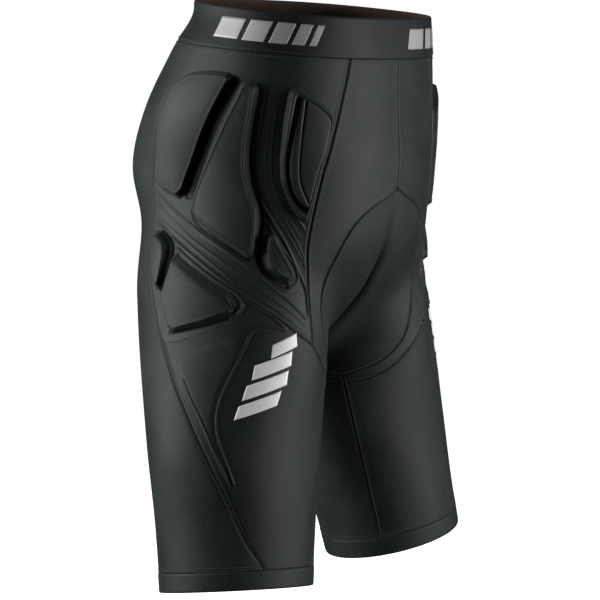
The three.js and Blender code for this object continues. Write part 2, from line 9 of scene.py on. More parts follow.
import bpy
import numpy as np
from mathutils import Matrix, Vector


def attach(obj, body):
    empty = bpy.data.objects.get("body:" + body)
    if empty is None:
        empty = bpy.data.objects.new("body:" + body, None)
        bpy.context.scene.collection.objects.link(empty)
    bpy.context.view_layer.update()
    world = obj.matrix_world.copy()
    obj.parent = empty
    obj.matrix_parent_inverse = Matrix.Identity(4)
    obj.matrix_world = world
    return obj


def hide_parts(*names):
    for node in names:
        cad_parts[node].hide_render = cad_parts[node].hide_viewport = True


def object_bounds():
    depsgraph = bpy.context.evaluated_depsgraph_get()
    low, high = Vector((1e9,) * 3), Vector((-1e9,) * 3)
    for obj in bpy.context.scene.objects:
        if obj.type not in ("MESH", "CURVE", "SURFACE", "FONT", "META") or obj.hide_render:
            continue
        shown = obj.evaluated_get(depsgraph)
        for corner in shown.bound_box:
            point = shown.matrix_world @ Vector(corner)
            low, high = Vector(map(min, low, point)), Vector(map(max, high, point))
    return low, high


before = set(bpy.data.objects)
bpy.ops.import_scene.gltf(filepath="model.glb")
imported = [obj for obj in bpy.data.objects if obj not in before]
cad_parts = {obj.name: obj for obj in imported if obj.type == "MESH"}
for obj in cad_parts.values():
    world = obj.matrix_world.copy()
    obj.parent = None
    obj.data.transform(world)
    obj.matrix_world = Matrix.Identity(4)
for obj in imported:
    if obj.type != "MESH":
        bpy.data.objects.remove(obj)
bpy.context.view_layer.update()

MM = 0.001

# ---------------------------------------------------------------- the body form, as the CAD part has it
TORSO_DEPTHS = [0, 40, 95, 150, 205, 260, 330]
TORSO_HALF_WIDTHS = [140, 150, 160, 156, 156, 166, 150]
TORSO_FRONTS = [104, 105, 105, 106, 99, 82, 52]
TORSO_BACKS = [77, 101, 131, 150, 134, 117, 100]
TORSO_SQUARENESS = 2.35
SEAT_DEPTH = 200
SEAT_ROUNDING = 135
LEG_DEPTHS = [200, 300, 400, 480, 560]
LEG_HALF_WIDTHS = [84, 86, 93, 81, 78]
LEG_HALF_LENGTHS = [90, 90, 76, 71, 67]
LEG_TOP_DEPTH = 270
LEG_TOP_ROUNDING = 110
BLEND_RADIUS = 8
TORSO_SCALE = 110
LEG_SCALE = 80

HIP_DEPTH = 292
HIP_HALF_SPACING = 97
HIP_FORWARD_OFFSET = 17
WAIST_AXIS_HALF_SPACING = 55
LEG_SPREAD = math.tan(math.radians(11))
LEG_SWING = math.tan(math.radians(8))
WAIST_TILT = math.tan(math.radians(6))
WAIST_TILT_FADE = 110
HEM_OUTER_LIFT = math.tan(math.radians(8))
HEM_FRONT_LIFT = math.tan(math.radians(8))

HEM_DEPTH = 535
WAISTBAND_HEIGHT = 38
HEM_HEIGHT = 18
HEM_TOP = HEM_DEPTH - HEM_HEIGHT
# How far under the body's surface the visual cloth reaches; the CAD part's cloth is 1.6.
FABRIC = 1.3
MM_PER_DEGREE = 2.1
RAY_LENGTH = 230
BISECTIONS = 22


def profile(xs, ys):
    """A smooth curve through points, level at both ends and constant beyond them."""
    xs, ys = np.array(xs, float), np.array(ys, float)
    slopes = np.zeros(len(xs))
    slopes[1:-1] = (ys[2:] - ys[:-2]) / (xs[2:] - xs[:-2])

    def at(x):
        x = np.clip(x, xs[0], xs[-1])
        i = np.clip(np.searchsorted(xs, x) - 1, 0, len(xs) - 2)
        step = xs[i + 1] - xs[i]
        u = (x - xs[i]) / step
        rise = u * u * (3 - 2 * u)
        bend = u * (1 - u) * step
        return ys[i] + (ys[i + 1] - ys[i]) * rise + bend * ((1 - u) * slopes[i] - u * slopes[i + 1])

    return at


torso_half_width = profile(TORSO_DEPTHS, TORSO_HALF_WIDTHS)
torso_front = profile(TORSO_DEPTHS, TORSO_FRONTS)
torso_back = profile(TORSO_DEPTHS, TORSO_BACKS)
leg_half_width = profile(LEG_DEPTHS, LEG_HALF_WIDTHS)
leg_half_length = profile(LEG_DEPTHS, LEG_HALF_LENGTHS)


def leg_centre(depth):
    below = depth - HIP_DEPTH
    return HIP_HALF_SPACING + below * LEG_SPREAD, HIP_FORWARD_OFFSET - below * LEG_SWING


def body_value(p):
    """Less than zero inside the body, more outside, about one per millimetre near the skin."""
    x, y, depth = p[..., 0], p[..., 1], -p[..., 2]
    front, back = torso_front(depth), torso_back(depth)
    across = np.abs(x) / torso_half_width(depth)
    along = np.abs(y - (back - front) / 2) / ((back + front) / 2)
    under = np.maximum(depth - SEAT_DEPTH, 0) / SEAT_ROUNDING
    power = TORSO_SQUARENESS
    torso = (across**power + along**power + under**power) ** (1 / power) - 1
    parts = [torso * TORSO_SCALE]
    leg_x, leg_y = leg_centre(depth)
    over = np.maximum(LEG_TOP_DEPTH - depth, 0) / LEG_TOP_ROUNDING
    leg_along = (y - leg_y) / leg_half_length(depth)
    for side in (-1, 1):
        leg_across = (side * x - leg_x) / leg_half_width(depth)
        parts.append((np.sqrt(leg_across**2 + leg_along**2 + over**2) - 1) * LEG_SCALE)
    least = np.minimum.reduce(parts)
    total = sum(np.exp((least - value) / BLEND_RADIUS) for value in parts)
    return least - BLEND_RADIUS * np.log(total)


def axis_at(depth):
    """The axis that bearings turn about: inside the half torso, then down the middle of the leg."""
    up = 1 - depth / HIP_DEPTH
    lean = WAIST_AXIS_HALF_SPACING - HIP_HALF_SPACING
    leg_x, leg_y = leg_centre(depth)
    below = depth > HIP_DEPTH
    return (np.where(below, leg_x, HIP_HALF_SPACING + lean * up),
            np.where(below, leg_y, HIP_FORWARD_OFFSET * (1 - up)))


def row_height(depth, axis, outward, y):
    waist = np.clip(1 - (depth - WAISTBAND_HEIGHT) / WAIST_TILT_FADE, 0, 1)
    hem = np.clip((depth - HIP_DEPTH) / (HEM_DEPTH - HIP_DEPTH), 0, 1)
    return (-depth + y * WAIST_TILT * waist + hem * (outward - axis[0]) * HEM_OUTER_LIFT
            - hem * (y - axis[1]) * HEM_FRONT_LIFT)


def edge_of(outside, shape):
    near, far = np.zeros(shape), np.full(shape, float(RAY_LENGTH))
    for _ in range(BISECTIONS):
        middle = (near + far) / 2
        beyond = outside(middle)
        far = np.where(beyond, middle, far)
        near = np.where(beyond, near, middle)
    return near


def surface(cells):
    """The points of the right half at an array of [depth, bearing]."""
    cells = np.asarray(cells, float)
    depth, bearing = cells[..., 0], np.radians(cells[..., 1])
    axis = axis_at(depth)

    def at(r):
        outward = axis[0] + r * np.sin(bearing)
        y = axis[1] - r * np.cos(bearing)
        return np.stack([-outward, y, row_height(depth, axis, outward, y)], -1)

    def outside(r):
        point = at(r)
        return (point[..., 0] > 0) | (body_value(point) > 0)

    return at(edge_of(outside, depth.shape))


def face_points(depth, x, facing):
    """The points at a depth and a distance from the middle plane, on the front (-1) or the back (1)."""
    depth, x = np.broadcast_arrays(np.asarray(depth, float), np.asarray(x, float))
    axis = axis_at(depth)

    def at(r):
        return np.stack([x, facing * r, row_height(depth, axis, np.abs(x), facing * r)], -1)

    return at(edge_of(lambda r: body_value(at(r)) > 0, depth.shape))


def centre_bearing(depth, facing):
    axis = axis_at(np.asarray(depth, float))
    point = face_points(depth, 0, facing)
    bearing = np.degrees(np.arctan2(-axis[0], axis[1] - point[..., 1]))
    return bearing if facing < 0 else bearing + 360


def slope_at(points):
    """The body value's rise per millimetre along each axis, at points."""
    slope = np.empty_like(points)
    for k in range(3):
        step = np.zeros(3)
        step[k] = 0.5
        slope[..., k] = body_value(points + step) - body_value(points - step)
    return slope


def outward(points):
    """The outward unit normals of the body at points."""
    slope = slope_at(points)
    return slope / np.linalg.norm(slope, axis=-1, keepdims=True)


def settled(points):
    """Moves points along the surface normal until they lie on the surface."""
    for _ in range(8):
        slope = slope_at(points)
        size = (slope**2).sum(-1, keepdims=True)
        points = points - slope * body_value(points)[..., None] / size
    return points


# ---------------------------------------------------------------- sewing lines
FRONT_SEAM = [(38, 8), (80, 10), (128, 13), (157, 15), (198, 16), (222, 15), (250, 10), (280, 6), (309, 3)]
BACK_SEAM = [(38, 122), (80, 122), (112, 126), (145, 130), (175, 132), (205, 131), (235, 126), (265, 118),
             (300, 107), (335, 96), (372, 84), (408, 74), (445, 64), (488, 51), (535, 31)]
DIAGONAL_SEAM = [(304, 95), (298, 82), (290, 68), (283, 55), (278, 44), (280, 32), (290, 20)]
LOWER_DIAGONAL = [(325, -8), (342, -24), (353, -38), (359, -52)]
GUSSET_FRONT = [(178, -29), (188, -19), (203, -11), (218, -8), (235, -6), (255, -5), (275, -6), (300, -11),
                (320, -19), (335, -31), (345, -44)]
GUSSET_BACK = [(260, 219), (298, 223), (325, 233), (341, 250), (350, 272)]
SIDE_SPLIT_DEPTH = 306
GUSSET_TOP_DEPTH = 170
GUSSET_BACK_TOP_DEPTH = 215
INSEAM_BEARING = -66
DENSITY = 24

front_seam = profile(*zip(*FRONT_SEAM))
back_seam = profile(*zip(*BACK_SEAM))


def by_depth(start, end, count, bearing):
    depth = np.linspace(start, end, count * DENSITY + 1)
    return np.stack([depth, bearing(depth)], -1)


def straight(start, end, count=1):
    u = np.linspace(0, 1, count * DENSITY + 1)[:, None]
    return np.array(start) * (1 - u) + np.array(end) * u


def spaced(points, count):
    """A polyline again, as count + 1 points at even distances along it."""
    along = np.concatenate([[0], np.cumsum(np.linalg.norm(np.diff(points, axis=0), axis=1))])
    at = np.linspace(0, along[-1], count + 1)
    return np.stack([np.interp(at, along, points[:, k]) for k in range(points.shape[1])], -1)


def spline(points, steps=24, closed=False):
    """A centripetal Catmull-Rom curve through points."""
    points = np.array(points, float)
    if closed:
        points = np.vstack([points[-1], points, points[:2]])
    else:
        points = np.vstack([2 * points[0] - points[1], points, 2 * points[-1] - points[-2]])
    made = []
    for p0, p1, p2, p3 in zip(points, points[1:], points[2:], points[3:]):
        gaps = [max(np.linalg.norm(b - a), 1e-6) ** 0.5 for a, b in ((p0, p1), (p1, p2), (p2, p3))]
        t1, t2, t3 = np.cumsum(gaps)
        t = np.linspace(t1, t2, steps, endpoint=False)[:, None]
        a1 = (t1 - t) / t1 * p0 + t / t1 * p1
        a2 = (t2 - t) / (t2 - t1) * p1 + (t - t1) / (t2 - t1) * p2
        a3 = (t3 - t) / (t3 - t2) * p2 + (t - t2) / (t3 - t2) * p3
        b1 = (t2 - t) / t2 * a1 + t / t2 * a2
        b2 = (t3 - t) / (t3 - t1) * a2 + (t - t1) / (t3 - t1) * a3
        made.append((t2 - t) / (t2 - t1) * b1 + (t - t1) / (t2 - t1) * b2)
    line = np.concatenate(made)
    return line if closed else np.vstack([line, points[-2]])


CHART = np.array([1, MM_PER_DEGREE])


def through(points, count):
    return spaced(spline(np.array(points) * CHART), count * DENSITY) / CHART


def joined(*lines):
    return np.concatenate([lines[0], *[line[1:] for line in lines[1:]]])


def turned(point):
    return point[0], point[1] + 360


JUNCTION = FRONT_SEAM[-1]
side_corner = (SIDE_SPLIT_DEPTH, float(back_seam(SIDE_SPLIT_DEPTH)))
inseam_top = (362, INSEAM_BEARING)
gusset_low = (354, INSEAM_BEARING)
hem_inner = (HEM_TOP, INSEAM_BEARING)
hem_back = (HEM_TOP, float(back_seam(HEM_TOP)))
gusset_top = (GUSSET_TOP_DEPTH, float(centre_bearing(GUSSET_TOP_DEPTH, -1)))
gusset_back_top = (GUSSET_BACK_TOP_DEPTH, float(centre_bearing(GUSSET_BACK_TOP_DEPTH, 1)))

# Each sewing line, with the share of its panels' rows that it takes.
seams = {
    "front": by_depth(WAISTBAND_HEIGHT, JUNCTION[0], 12, front_seam),
    "back_upper": by_depth(WAISTBAND_HEIGHT, SIDE_SPLIT_DEPTH, 12, back_seam),
    "back_lower": by_depth(SIDE_SPLIT_DEPTH, HEM_TOP, 7, back_seam),
    "diagonal": through([side_corner, *DIAGONAL_SEAM, JUNCTION], 8),
    "lower_diagonal": through([JUNCTION, *LOWER_DIAGONAL, inseam_top], 4),
    "inseam": straight(inseam_top, hem_inner, 7),
    "back_inseam": straight(turned(gusset_low), turned(hem_inner), 5),
    "centre_front": by_depth(WAISTBAND_HEIGHT, GUSSET_TOP_DEPTH, 5, lambda d: centre_bearing(d, -1)),
    "centre_back": by_depth(WAISTBAND_HEIGHT, GUSSET_BACK_TOP_DEPTH, 8, lambda d: centre_bearing(d, 1)),
    "gusset_front": through([gusset_top, *GUSSET_FRONT, gusset_low], 11),
    "gusset_back": through([gusset_back_top, *GUSSET_BACK, turned(gusset_low)], 6),
}


def along(line, u):
    """The places at shares u of a line's own points."""
    at = u * (len(line) - 1)
    return np.stack([np.interp(at, np.arange(len(line)), line[:, k]) for k in range(2)], -1)


def patch(top, bottom, left, right, rows, columns):
    """Fills four sewing lines: top and bottom run the same way, left and right run down."""
    u, v = columns[None, :, None], rows[:, None, None]
    top_edge, bottom_edge = along(top, columns)[None], along(bottom, columns)[None]
    left_edge, right_edge = along(left, rows)[:, None], along(right, rows)[:, None]
    corners = (1 - v) * ((1 - u) * top[0] + u * top[-1]) + v * ((1 - u) * bottom[0] + u * bottom[-1])
    return (1 - v) * top_edge + v * bottom_edge + (1 - u) * left_edge + u * right_edge - corners


BORDER = [0, 0.5, 1.0, 1.6, 2.3, 3.2, 4.4]
INNER_STEP = 4


def graded(length, cell):
    """Shares from 0 to 1 in steps of about one cell of a length, finer near both ends."""
    border = np.array(BORDER) / length
    count = max(int(round((length - 2 * BORDER[-1]) / cell)), 2)
    middle = np.linspace(border[-1], 1 - border[-1], count + 1)
    made = np.concatenate([border[:-1], middle, 1 - border[:-1][::-1]])
    spare = -(len(made) - 1) % INNER_STEP
    if spare:
        middle = np.linspace(border[-1], 1 - border[-1], count + 1 + spare)
        made = np.concatenate([border[:-1], middle, 1 - border[:-1][::-1]])
    return made


# ---------------------------------------------------------------- relief moulded into the padded side
def distance(points, line, reach=12.0):
    """How far each point is from a polyline, up to the reach."""
    shape = points.shape[:-1]
    flat = points.reshape(-1, 3)
    found = np.full(len(flat), reach)
    near = np.all((flat > line.min(0) - reach) & (flat < line.max(0) + reach), axis=1)
    picked = flat[near]
    start, span = line[:-1], np.diff(line, axis=0)
    size = np.maximum((span**2).sum(1), 1e-9)
    best = np.full(len(picked), reach**2)
    for a, d, s in zip(start, span, size):
        off = picked - a
        t = np.clip(off @ d / s, 0, 1)
        best = np.minimum(best, ((off - t[:, None] * d) ** 2).sum(1))
    found[near] = np.sqrt(best)
    return found.reshape(shape)


def on_body(places, step=3.0):
    """A smooth line on the body through places, as points about a step apart."""
    line = spline(np.array(places, float) * CHART) / CHART
    length = np.linalg.norm(np.diff(line * CHART, axis=0), axis=1).sum()
    return surface(spaced(line, max(int(length / step), 4)))


# Raised beads and pressed grooves: places, half width and height.
BEADS = [
    ([(69, 56), (118, 57), (153, 54), (176, 47)], 0.8, 0.3),
    ([(72, 53.5), (118, 54), (155, 51), (180, 43), (207, 29), (240, 12)], 0.8, 0.35),
    ([(78, 51), (118, 51), (155, 47.5), (183, 37), (215, 22), (236, 13)], 0.8, 0.35),
    ([(88, 48), (131, 47), (158, 43.5), (186, 33), (209, 21.5)], 0.8, 0.3),
    ([(158, 56), (170, 52), (192, 41), (212, 31), (235, 21), (258, 11), (280, 7.5)], 1.2, 1.1),
    ([(160, 133), (183, 116), (202, 94), (220, 69), (236, 51), (252, 37), (268, 22), (284, 10)], 1.0, 0.9),
    ([(170, 133), (192, 116), (209, 98), (225, 76), (242, 56), (258, 40), (276, 22), (292, 9)], 0.9, 0.45),
    ([(184, 133), (200, 118), (217, 95), (236, 72), (256, 52), (273, 32), (287, 19), (305, 5)], 0.9, 0.5),
    ([(194, 132), (212, 110), (231, 85), (252, 61), (268, 44), (282, 29), (296, 16), (308, 4)], 1.1, 1.1),
    ([(198, 42), (221, 30), (238, 20.5), (248, 18), (257, 25), (252, 35)], 1.0, 0.9),
    ([(201, 20), (190, 26.5)], 1.1, 1.0),
    ([(220, 104.5), (230, 92.5), (246, 73), (261, 56), (269, 52.5), (277, 55)], 1.1, 1.5),
    ([(338, 88), (358, 81.8), (380, 75), (403, 69.4), (431, 62), (437, 60.2)], 0.8, 1.2),
    ([(293, 24), (289, 34), (288, 41), (294, 46), (311, 51), (333, 58), (354, 64), (373, 67), (395, 66),
      (419, 61.2), (436, 57.8)], 0.8, 1.2),
    ([(264, 53), (271, 44), (282, 32), (291, 25)], 1.1, 1.0),
]
# Pressed grooves: places, half width and depth. Their middles also get painted shade, mixed to near-black, on the
# shell and on the pad walls beside them.
GROOVES = [
    ([(67, 72.9), (170, 101.6)], 5.6, 1.0),
    ([(68, 59.5), (118, 60.5), (153, 57.5), (182, 48.5), (202, 46.5), (222, 47.5), (240, 43)], 1.7, 0.8),
    ([(210, 46.5), (222, 46), (237, 42.5), (249, 34), (253, 26)], 2.6, 0.8),
    ([(208, 120.5), (213, 113.2), (221, 109), (238, 108), (256, 109.8)], 3.8, 0.8),
    ([(296, 98.5), (288.5, 76), (281, 60.5)], 1.5, 0.8),
    ([(79, 38.8), (112, 39.6), (142, 38.6), (162, 35), (180, 27.5), (186, 23)], 1.7, 0.4),
    ([(186, 98.5), (194, 95.6), (214, 70.5), (229, 52)], 1.3, 0.5),
]

FANG = [(322, 95), (333, 91.5), (358, 83.5), (380, 76.5), (403, 71), (431, 63.5), (433, 61), (419, 62),
        (395, 66.5), (373, 67.5), (354, 64.5), (333, 58.5), (311, 51.5), (298, 52), (306, 76)]
FANG_HEIGHT = 1.0
SEAM_ROLL = 0.25
# How deep and how wide the valley of each sewing line is.
SEAM_VALLEYS = {
    "front": (0.75, 1.0), "back_upper": (0.4, 0.8), "back_lower": (0.9, 2.4), "inseam": (0.6, 1.0),
    "back_inseam": (0.6, 1.0), "lower_diagonal": (0.7, 1.1), "gusset_front": (0.7, 1.0),
    "gusset_back": (0.7, 1.0), "centre_back": (0.6, 1.0), "centre_front": (0.5, 0.8),
}
seam_lines = {name: surface(seams[name][::6]) for name in SEAM_VALLEYS}


def seam_relief(points):
    """The valleys of the sewing lines, with the cloth rolled up a little beside them."""
    folded = np.stack([-np.abs(points[..., 0]), points[..., 1], points[..., 2]], -1)
    dip, nearest = np.zeros(points.shape[:-1]), np.full(points.shape[:-1], 12.0)
    for name, (drop, width) in SEAM_VALLEYS.items():
        away = distance(folded, seam_lines[name])
        dip = np.maximum(dip, drop * np.exp(-((away / width) ** 2)))
        if name != "back_lower":
            nearest = np.minimum(nearest, away)
    return SEAM_ROLL * np.exp(-(((nearest - 2.6) / 1.6) ** 2)) - dip


CREASE_DEPTHS = [185, 205, 235, 262, 290, 320, 345]
CREASE_DROPS = [0, 1.5, 5, 7, 7, 4, 1]
CREASE_WIDTH = 7.0
crease_drop = profile(CREASE_DEPTHS, CREASE_DROPS)


def crease(points):
    """The fold down the middle of the crotch."""
    front = smooth_step((60 - points[..., 1]) / 40)
    across = np.abs(points[..., 0])
    shape = 0.6 * np.exp(-((across / CREASE_WIDTH) ** 2)) + 0.4 * np.exp(-across / 3.0)
    return -crease_drop(-points[..., 2]) * shape * front


def inside(places, outline):
    """Which places lie inside a closed outline, by the even-odd rule."""
    x, y = places[..., 0], places[..., 1]
    found = np.zeros(x.shape, bool)
    for (x1, y1), (x2, y2) in zip(outline, np.roll(outline, -1, axis=0)):
        if y1 != y2:
            found ^= ((y1 > y) != (y2 > y)) & (x < (x2 - x1) * (y - y1) / (y2 - y1) + x1)
    return found


def depth_inside(cells, points, outline, reach=40.0):
    """How far inside an outline of places each cell is, less than zero outside."""
    ring = np.vstack([outline, outline[:1]])
    away = distance(points, surface(ring), reach)
    return np.where(inside(cells, outline), away, -away)


def smooth_step(x):
    x = np.clip(x, 0, 1)
    return x * x * (3 - 2 * x)


fang_outline = spline(FANG, 6, closed=True)


def painted_groove_shade(points):
    """Painted shade: black in the deep grooves, and on the walls that stand in them."""
    found = np.zeros(points.shape[:-1])
    for places, width, _ in GROOVES:
        found = np.maximum(found, 1 - smooth_step((distance(points, on_body(places)) - width + 1) / 2))
    return found


def relief(cells, points):
    """Height of the cloth's face over the body, and the shade painted into its pressed grooves."""
    height = np.zeros(points.shape[:-1])
    painted_shade = np.zeros(points.shape[:-1])
    for places, width, rise in BEADS:
        height = np.maximum(height, rise * np.exp(-((distance(points, on_body(places)) / width) ** 2)))
    fade = smooth_step((back_seam(cells[..., 0]) - cells[..., 1] - 1) / 9)
    height *= np.where(cells[..., 0] < SIDE_SPLIT_DEPTH, fade, 1)
    for places, width, drop in GROOVES:
        share = 1 - smooth_step((distance(points, on_body(places)) - width + 1) / 2)
        painted_shade = np.maximum(painted_shade, share)
        height -= share * drop
    in_fang = depth_inside(cells, points, fang_outline, 12)
    height += FANG_HEIGHT * smooth_step((in_fang + 1) / 7)
    height += seam_relief(points) + crease(points)
    return height, painted_shade


# ---------------------------------------------------------------- meshes
def make_object(name, points, faces, uv, shade=None):
    """A mesh object from points in millimetres, arrays of faces with equal corners, and places for a weave."""
    corners = np.concatenate([np.asarray(f, np.int32).ravel() for f in faces])
    sizes = np.concatenate([np.full(len(f), np.shape(f)[1], np.int32) for f in faces])
    starts = np.concatenate([[0], np.cumsum(sizes)[:-1]]).astype(np.int32)
    mesh = bpy.data.meshes.new(name)
    mesh.vertices.add(len(points))
    mesh.vertices.foreach_set("co", (np.asarray(points, float) * MM).astype(np.float32).ravel())
    mesh.loops.add(len(corners))
    mesh.loops.foreach_set("vertex_index", corners)
    mesh.polygons.add(len(sizes))
    mesh.polygons.foreach_set("loop_start", starts)
    mesh.polygons.foreach_set("loop_total", sizes)
    mesh.update(calc_edges=True)
    mesh.polygons.foreach_set("use_smooth", np.ones(len(sizes), bool))
    layer = mesh.uv_layers.new(name="weave")
    layer.data.foreach_set("uv", (np.asarray(uv, float)[corners] * MM).astype(np.float32).ravel())
    if shade is not None:
        attribute = mesh.attributes.new("painted_shade", "FLOAT", "POINT")
        attribute.data.foreach_set("value", np.asarray(shade, np.float32))
    mesh.validate()
    made = bpy.data.objects.new(name, mesh)
    bpy.context.scene.collection.objects.link(made)
    return made


def sheet_faces(rows, columns, step, round_):
    """Faces of a thin closed sheet: a fine outer grid, a coarser inner grid and the rim between them."""
    index = np.arange(rows * columns).reshape(rows, columns)
    inner_rows = (rows - 1) // step + 1
    inner_columns = columns // step if round_ else (columns - 1) // step + 1
    inner = rows * columns + np.arange(inner_rows * inner_columns).reshape(inner_rows, inner_columns)
    if round_:
        index = np.hstack([index, index[:, :1]])
        inner = np.hstack([inner, inner[:, :1]])

    def quads(grid):
        made = np.stack([grid[:-1, :-1], grid[1:, :-1], grid[1:, 1:], grid[:-1, 1:]], -1)
        return made.reshape(-1, 4)

    def rim(outer_line, inner_line):
        return np.array([[*outer_line[k * step:(k + 1) * step + 1], inner_line[k + 1], inner_line[k]]
                         for k in range(len(inner_line) - 1)])

    rims = [rim(index[0], inner[0]), rim(index[-1][::-1], inner[-1][::-1])]
    if not round_:
        rims += [rim(index[::-1, 0], inner[::-1, 0]), rim(index[:, -1], inner[:, -1])]
    return [quads(index), quads(inner)[:, ::-1], np.concatenate(rims)]


def sheet(name, cells, points, outer, inner, shade=None, round_=False, step=INNER_STEP):
    """A thin closed sheet between two heights over a grid of body points."""
    normals = outward(points)
    top = points + normals * np.broadcast_to(outer, points.shape[:-1])[..., None]
    low = (points + normals * np.broadcast_to(inner, points.shape[:-1])[..., None])[::step, ::step]
    rows, columns = points.shape[:2]
    faces = sheet_faces(rows, columns, step, round_)
    chart = cells[..., ::-1] * np.array([MM_PER_DEGREE, 1])
    uv = np.concatenate([chart.reshape(-1, 2), chart[::step, ::step].reshape(-1, 2)])
    across = np.cross(points[rows // 2, 1] - points[rows // 2, 0], points[rows // 2 - 1, 0] - points[rows // 2, 0])
    if across @ normals[rows // 2, 0] < 0:
        faces = [f[:, ::-1] for f in faces]
    dark = None
    if shade is not None:
        dark = np.concatenate([shade.ravel(), shade[::step, ::step].ravel()])
    return make_object(name, np.concatenate([top.reshape(-1, 3), low.reshape(-1, 3)]), faces, uv, dark)


def mirrored(piece, name):
    """The same piece for the wearer's left half."""
    mesh = piece.data.copy()
    mesh.name = name
    points = np.empty(len(mesh.vertices) * 3, np.float32)
    mesh.vertices.foreach_get("co", points)
    points = points.reshape(-1, 3) * np.array([-1, 1, 1], np.float32)
    mesh.vertices.foreach_set("co", points.ravel())
    mesh.flip_normals()
    made = bpy.data.objects.new(name, mesh)
    bpy.context.scene.collection.objects.link(made)
    return made


# ---------------------------------------------------------------- materials
def new_material(name, color, roughness, specular, sheen=0.0, sheen_tint=(1, 1, 1), sheen_roughness=0.4):
    material = bpy.data.materials.new(name)
    material.use_nodes = True
    shader = material.node_tree.nodes["Principled BSDF"]
    shader.inputs["Base Color"].default_value = (*color, 1)
    shader.inputs["Roughness"].default_value = roughness
    shader.inputs["Specular IOR Level"].default_value = specular
    shader.inputs["Sheen Weight"].default_value = sheen
    shader.inputs["Sheen Tint"].default_value = (*sheen_tint, 1)
    shader.inputs["Sheen Roughness"].default_value = sheen_roughness
    return material, material.node_tree, shader


def node(tree, kind, links=(), **values):
    made = tree.nodes.new(kind)
    for key, value in values.items():
        if key in made.inputs.keys() or key.replace("_", " ") in made.inputs.keys():
            made.inputs[key.replace("_", " ")].default_value = value
        else:
            setattr(made, key, value)
    for socket, source in links:
        tree.links.new(source, made.inputs[socket])
    return made


def scaled_weave(tree, across, down):
    """The weave's own coordinates, one unit per repeat; across and down are the repeat's sizes in mm."""
    place = node(tree, "ShaderNodeUVMap", uv_map="weave")
    mapping = node(tree, "ShaderNodeMapping", [("Vector", place.outputs[0])])
    mapping.inputs["Scale"].default_value = (1 / (across * MM), 1 / (down * MM), 1)
    return mapping.outputs[0]


def knit(name, color, roughness=0.5, specular=0.1, wale=0.9, course=0.7, relief_mm=0.12, **sheen):
    """A fine stretch knit: staggered loops in ribs, with slow changes of colour and gloss, and painted shade mixed
    to near-black where the mesh's shade attribute is set.
    """
    material, tree, shader = new_material(name, color, roughness, specular, **sheen)
    weave = scaled_weave(tree, wale, course)
    ribs = node(tree, "ShaderNodeTexWave", [("Vector", weave)], wave_type="BANDS", bands_direction="X",
                Scale=0.31831, Distortion=0.4, Detail=1.0, Detail_Scale=0.6)
    loops = node(tree, "ShaderNodeTexWave", [("Vector", weave)], wave_type="BANDS", bands_direction="DIAGONAL",
                 Scale=0.31831, Distortion=0.8, Detail=1.0, Detail_Scale=0.5)
    fuzz = node(tree, "ShaderNodeTexNoise", [("Vector", weave)], Scale=0.35, Detail=4.0, Roughness=0.6)
    wide = scaled_weave(tree, 60, 60)
    patches = node(tree, "ShaderNodeTexNoise", [("Vector", wide)], Scale=1.0, Detail=3.0, Roughness=0.55)
    cloth = node(tree, "ShaderNodeMath", [(0, ribs.outputs["Fac"]), (1, loops.outputs["Fac"])],
                 operation="MULTIPLY")
    surface_height = node(tree, "ShaderNodeMath", [(0, cloth.outputs[0]), (1, fuzz.outputs["Fac"])],
                          operation="ADD")
    bump = node(tree, "ShaderNodeBump", [("Height", surface_height.outputs[0])],
                Strength=0.5, Distance=relief_mm * MM)
    tree.links.new(bump.outputs[0], shader.inputs["Normal"])
    heather = node(tree, "ShaderNodeTexNoise", [("Vector", weave)], Scale=0.35, Detail=3.0, Roughness=0.8)
    grain = node(tree, "ShaderNodeMath", [(0, heather.outputs["Fac"]), (1, fuzz.outputs["Fac"])],
                 operation="MULTIPLY")
    tone = node(tree, "ShaderNodeMath", [(0, patches.outputs["Fac"]), (1, grain.outputs[0])],
                operation="MULTIPLY")
    ramp = node(tree, "ShaderNodeValToRGB", [("Fac", tone.outputs[0])])
    low, high = ramp.color_ramp.elements
    low.position, high.position = 0.05, 0.22
    low.color = (*[c * 0.6 for c in color], 1)
    high.color = (*[c * 1.4 for c in color], 1)
    # Painted shade: the colour is mixed towards a near-black painted shadow colour by the mesh's shade attribute.
    painted_shade = node(tree, "ShaderNodeAttribute", attribute_name="painted_shade")
    painted_shade_mix = node(tree, "ShaderNodeMix", data_type="RGBA")
    tree.links.new(painted_shade.outputs["Fac"], painted_shade_mix.inputs["Factor"])
    tree.links.new(ramp.outputs["Color"], painted_shade_mix.inputs[6])
    painted_shade_mix.inputs[7].default_value = (0.0012, 0.0013, 0.0014, 1)
    tree.links.new(painted_shade_mix.outputs[2], shader.inputs["Base Color"])
    rough = node(tree, "ShaderNodeMapRange", [("Value", patches.outputs["Fac"])])
    rough.inputs["From Min"].default_value = 0.3
    rough.inputs["From Max"].default_value = 0.7
    rough.inputs["To Min"].default_value = roughness - 0.05
    rough.inputs["To Max"].default_value = roughness + 0.07
    tree.links.new(rough.outputs["Result"], shader.inputs["Roughness"])
    return material


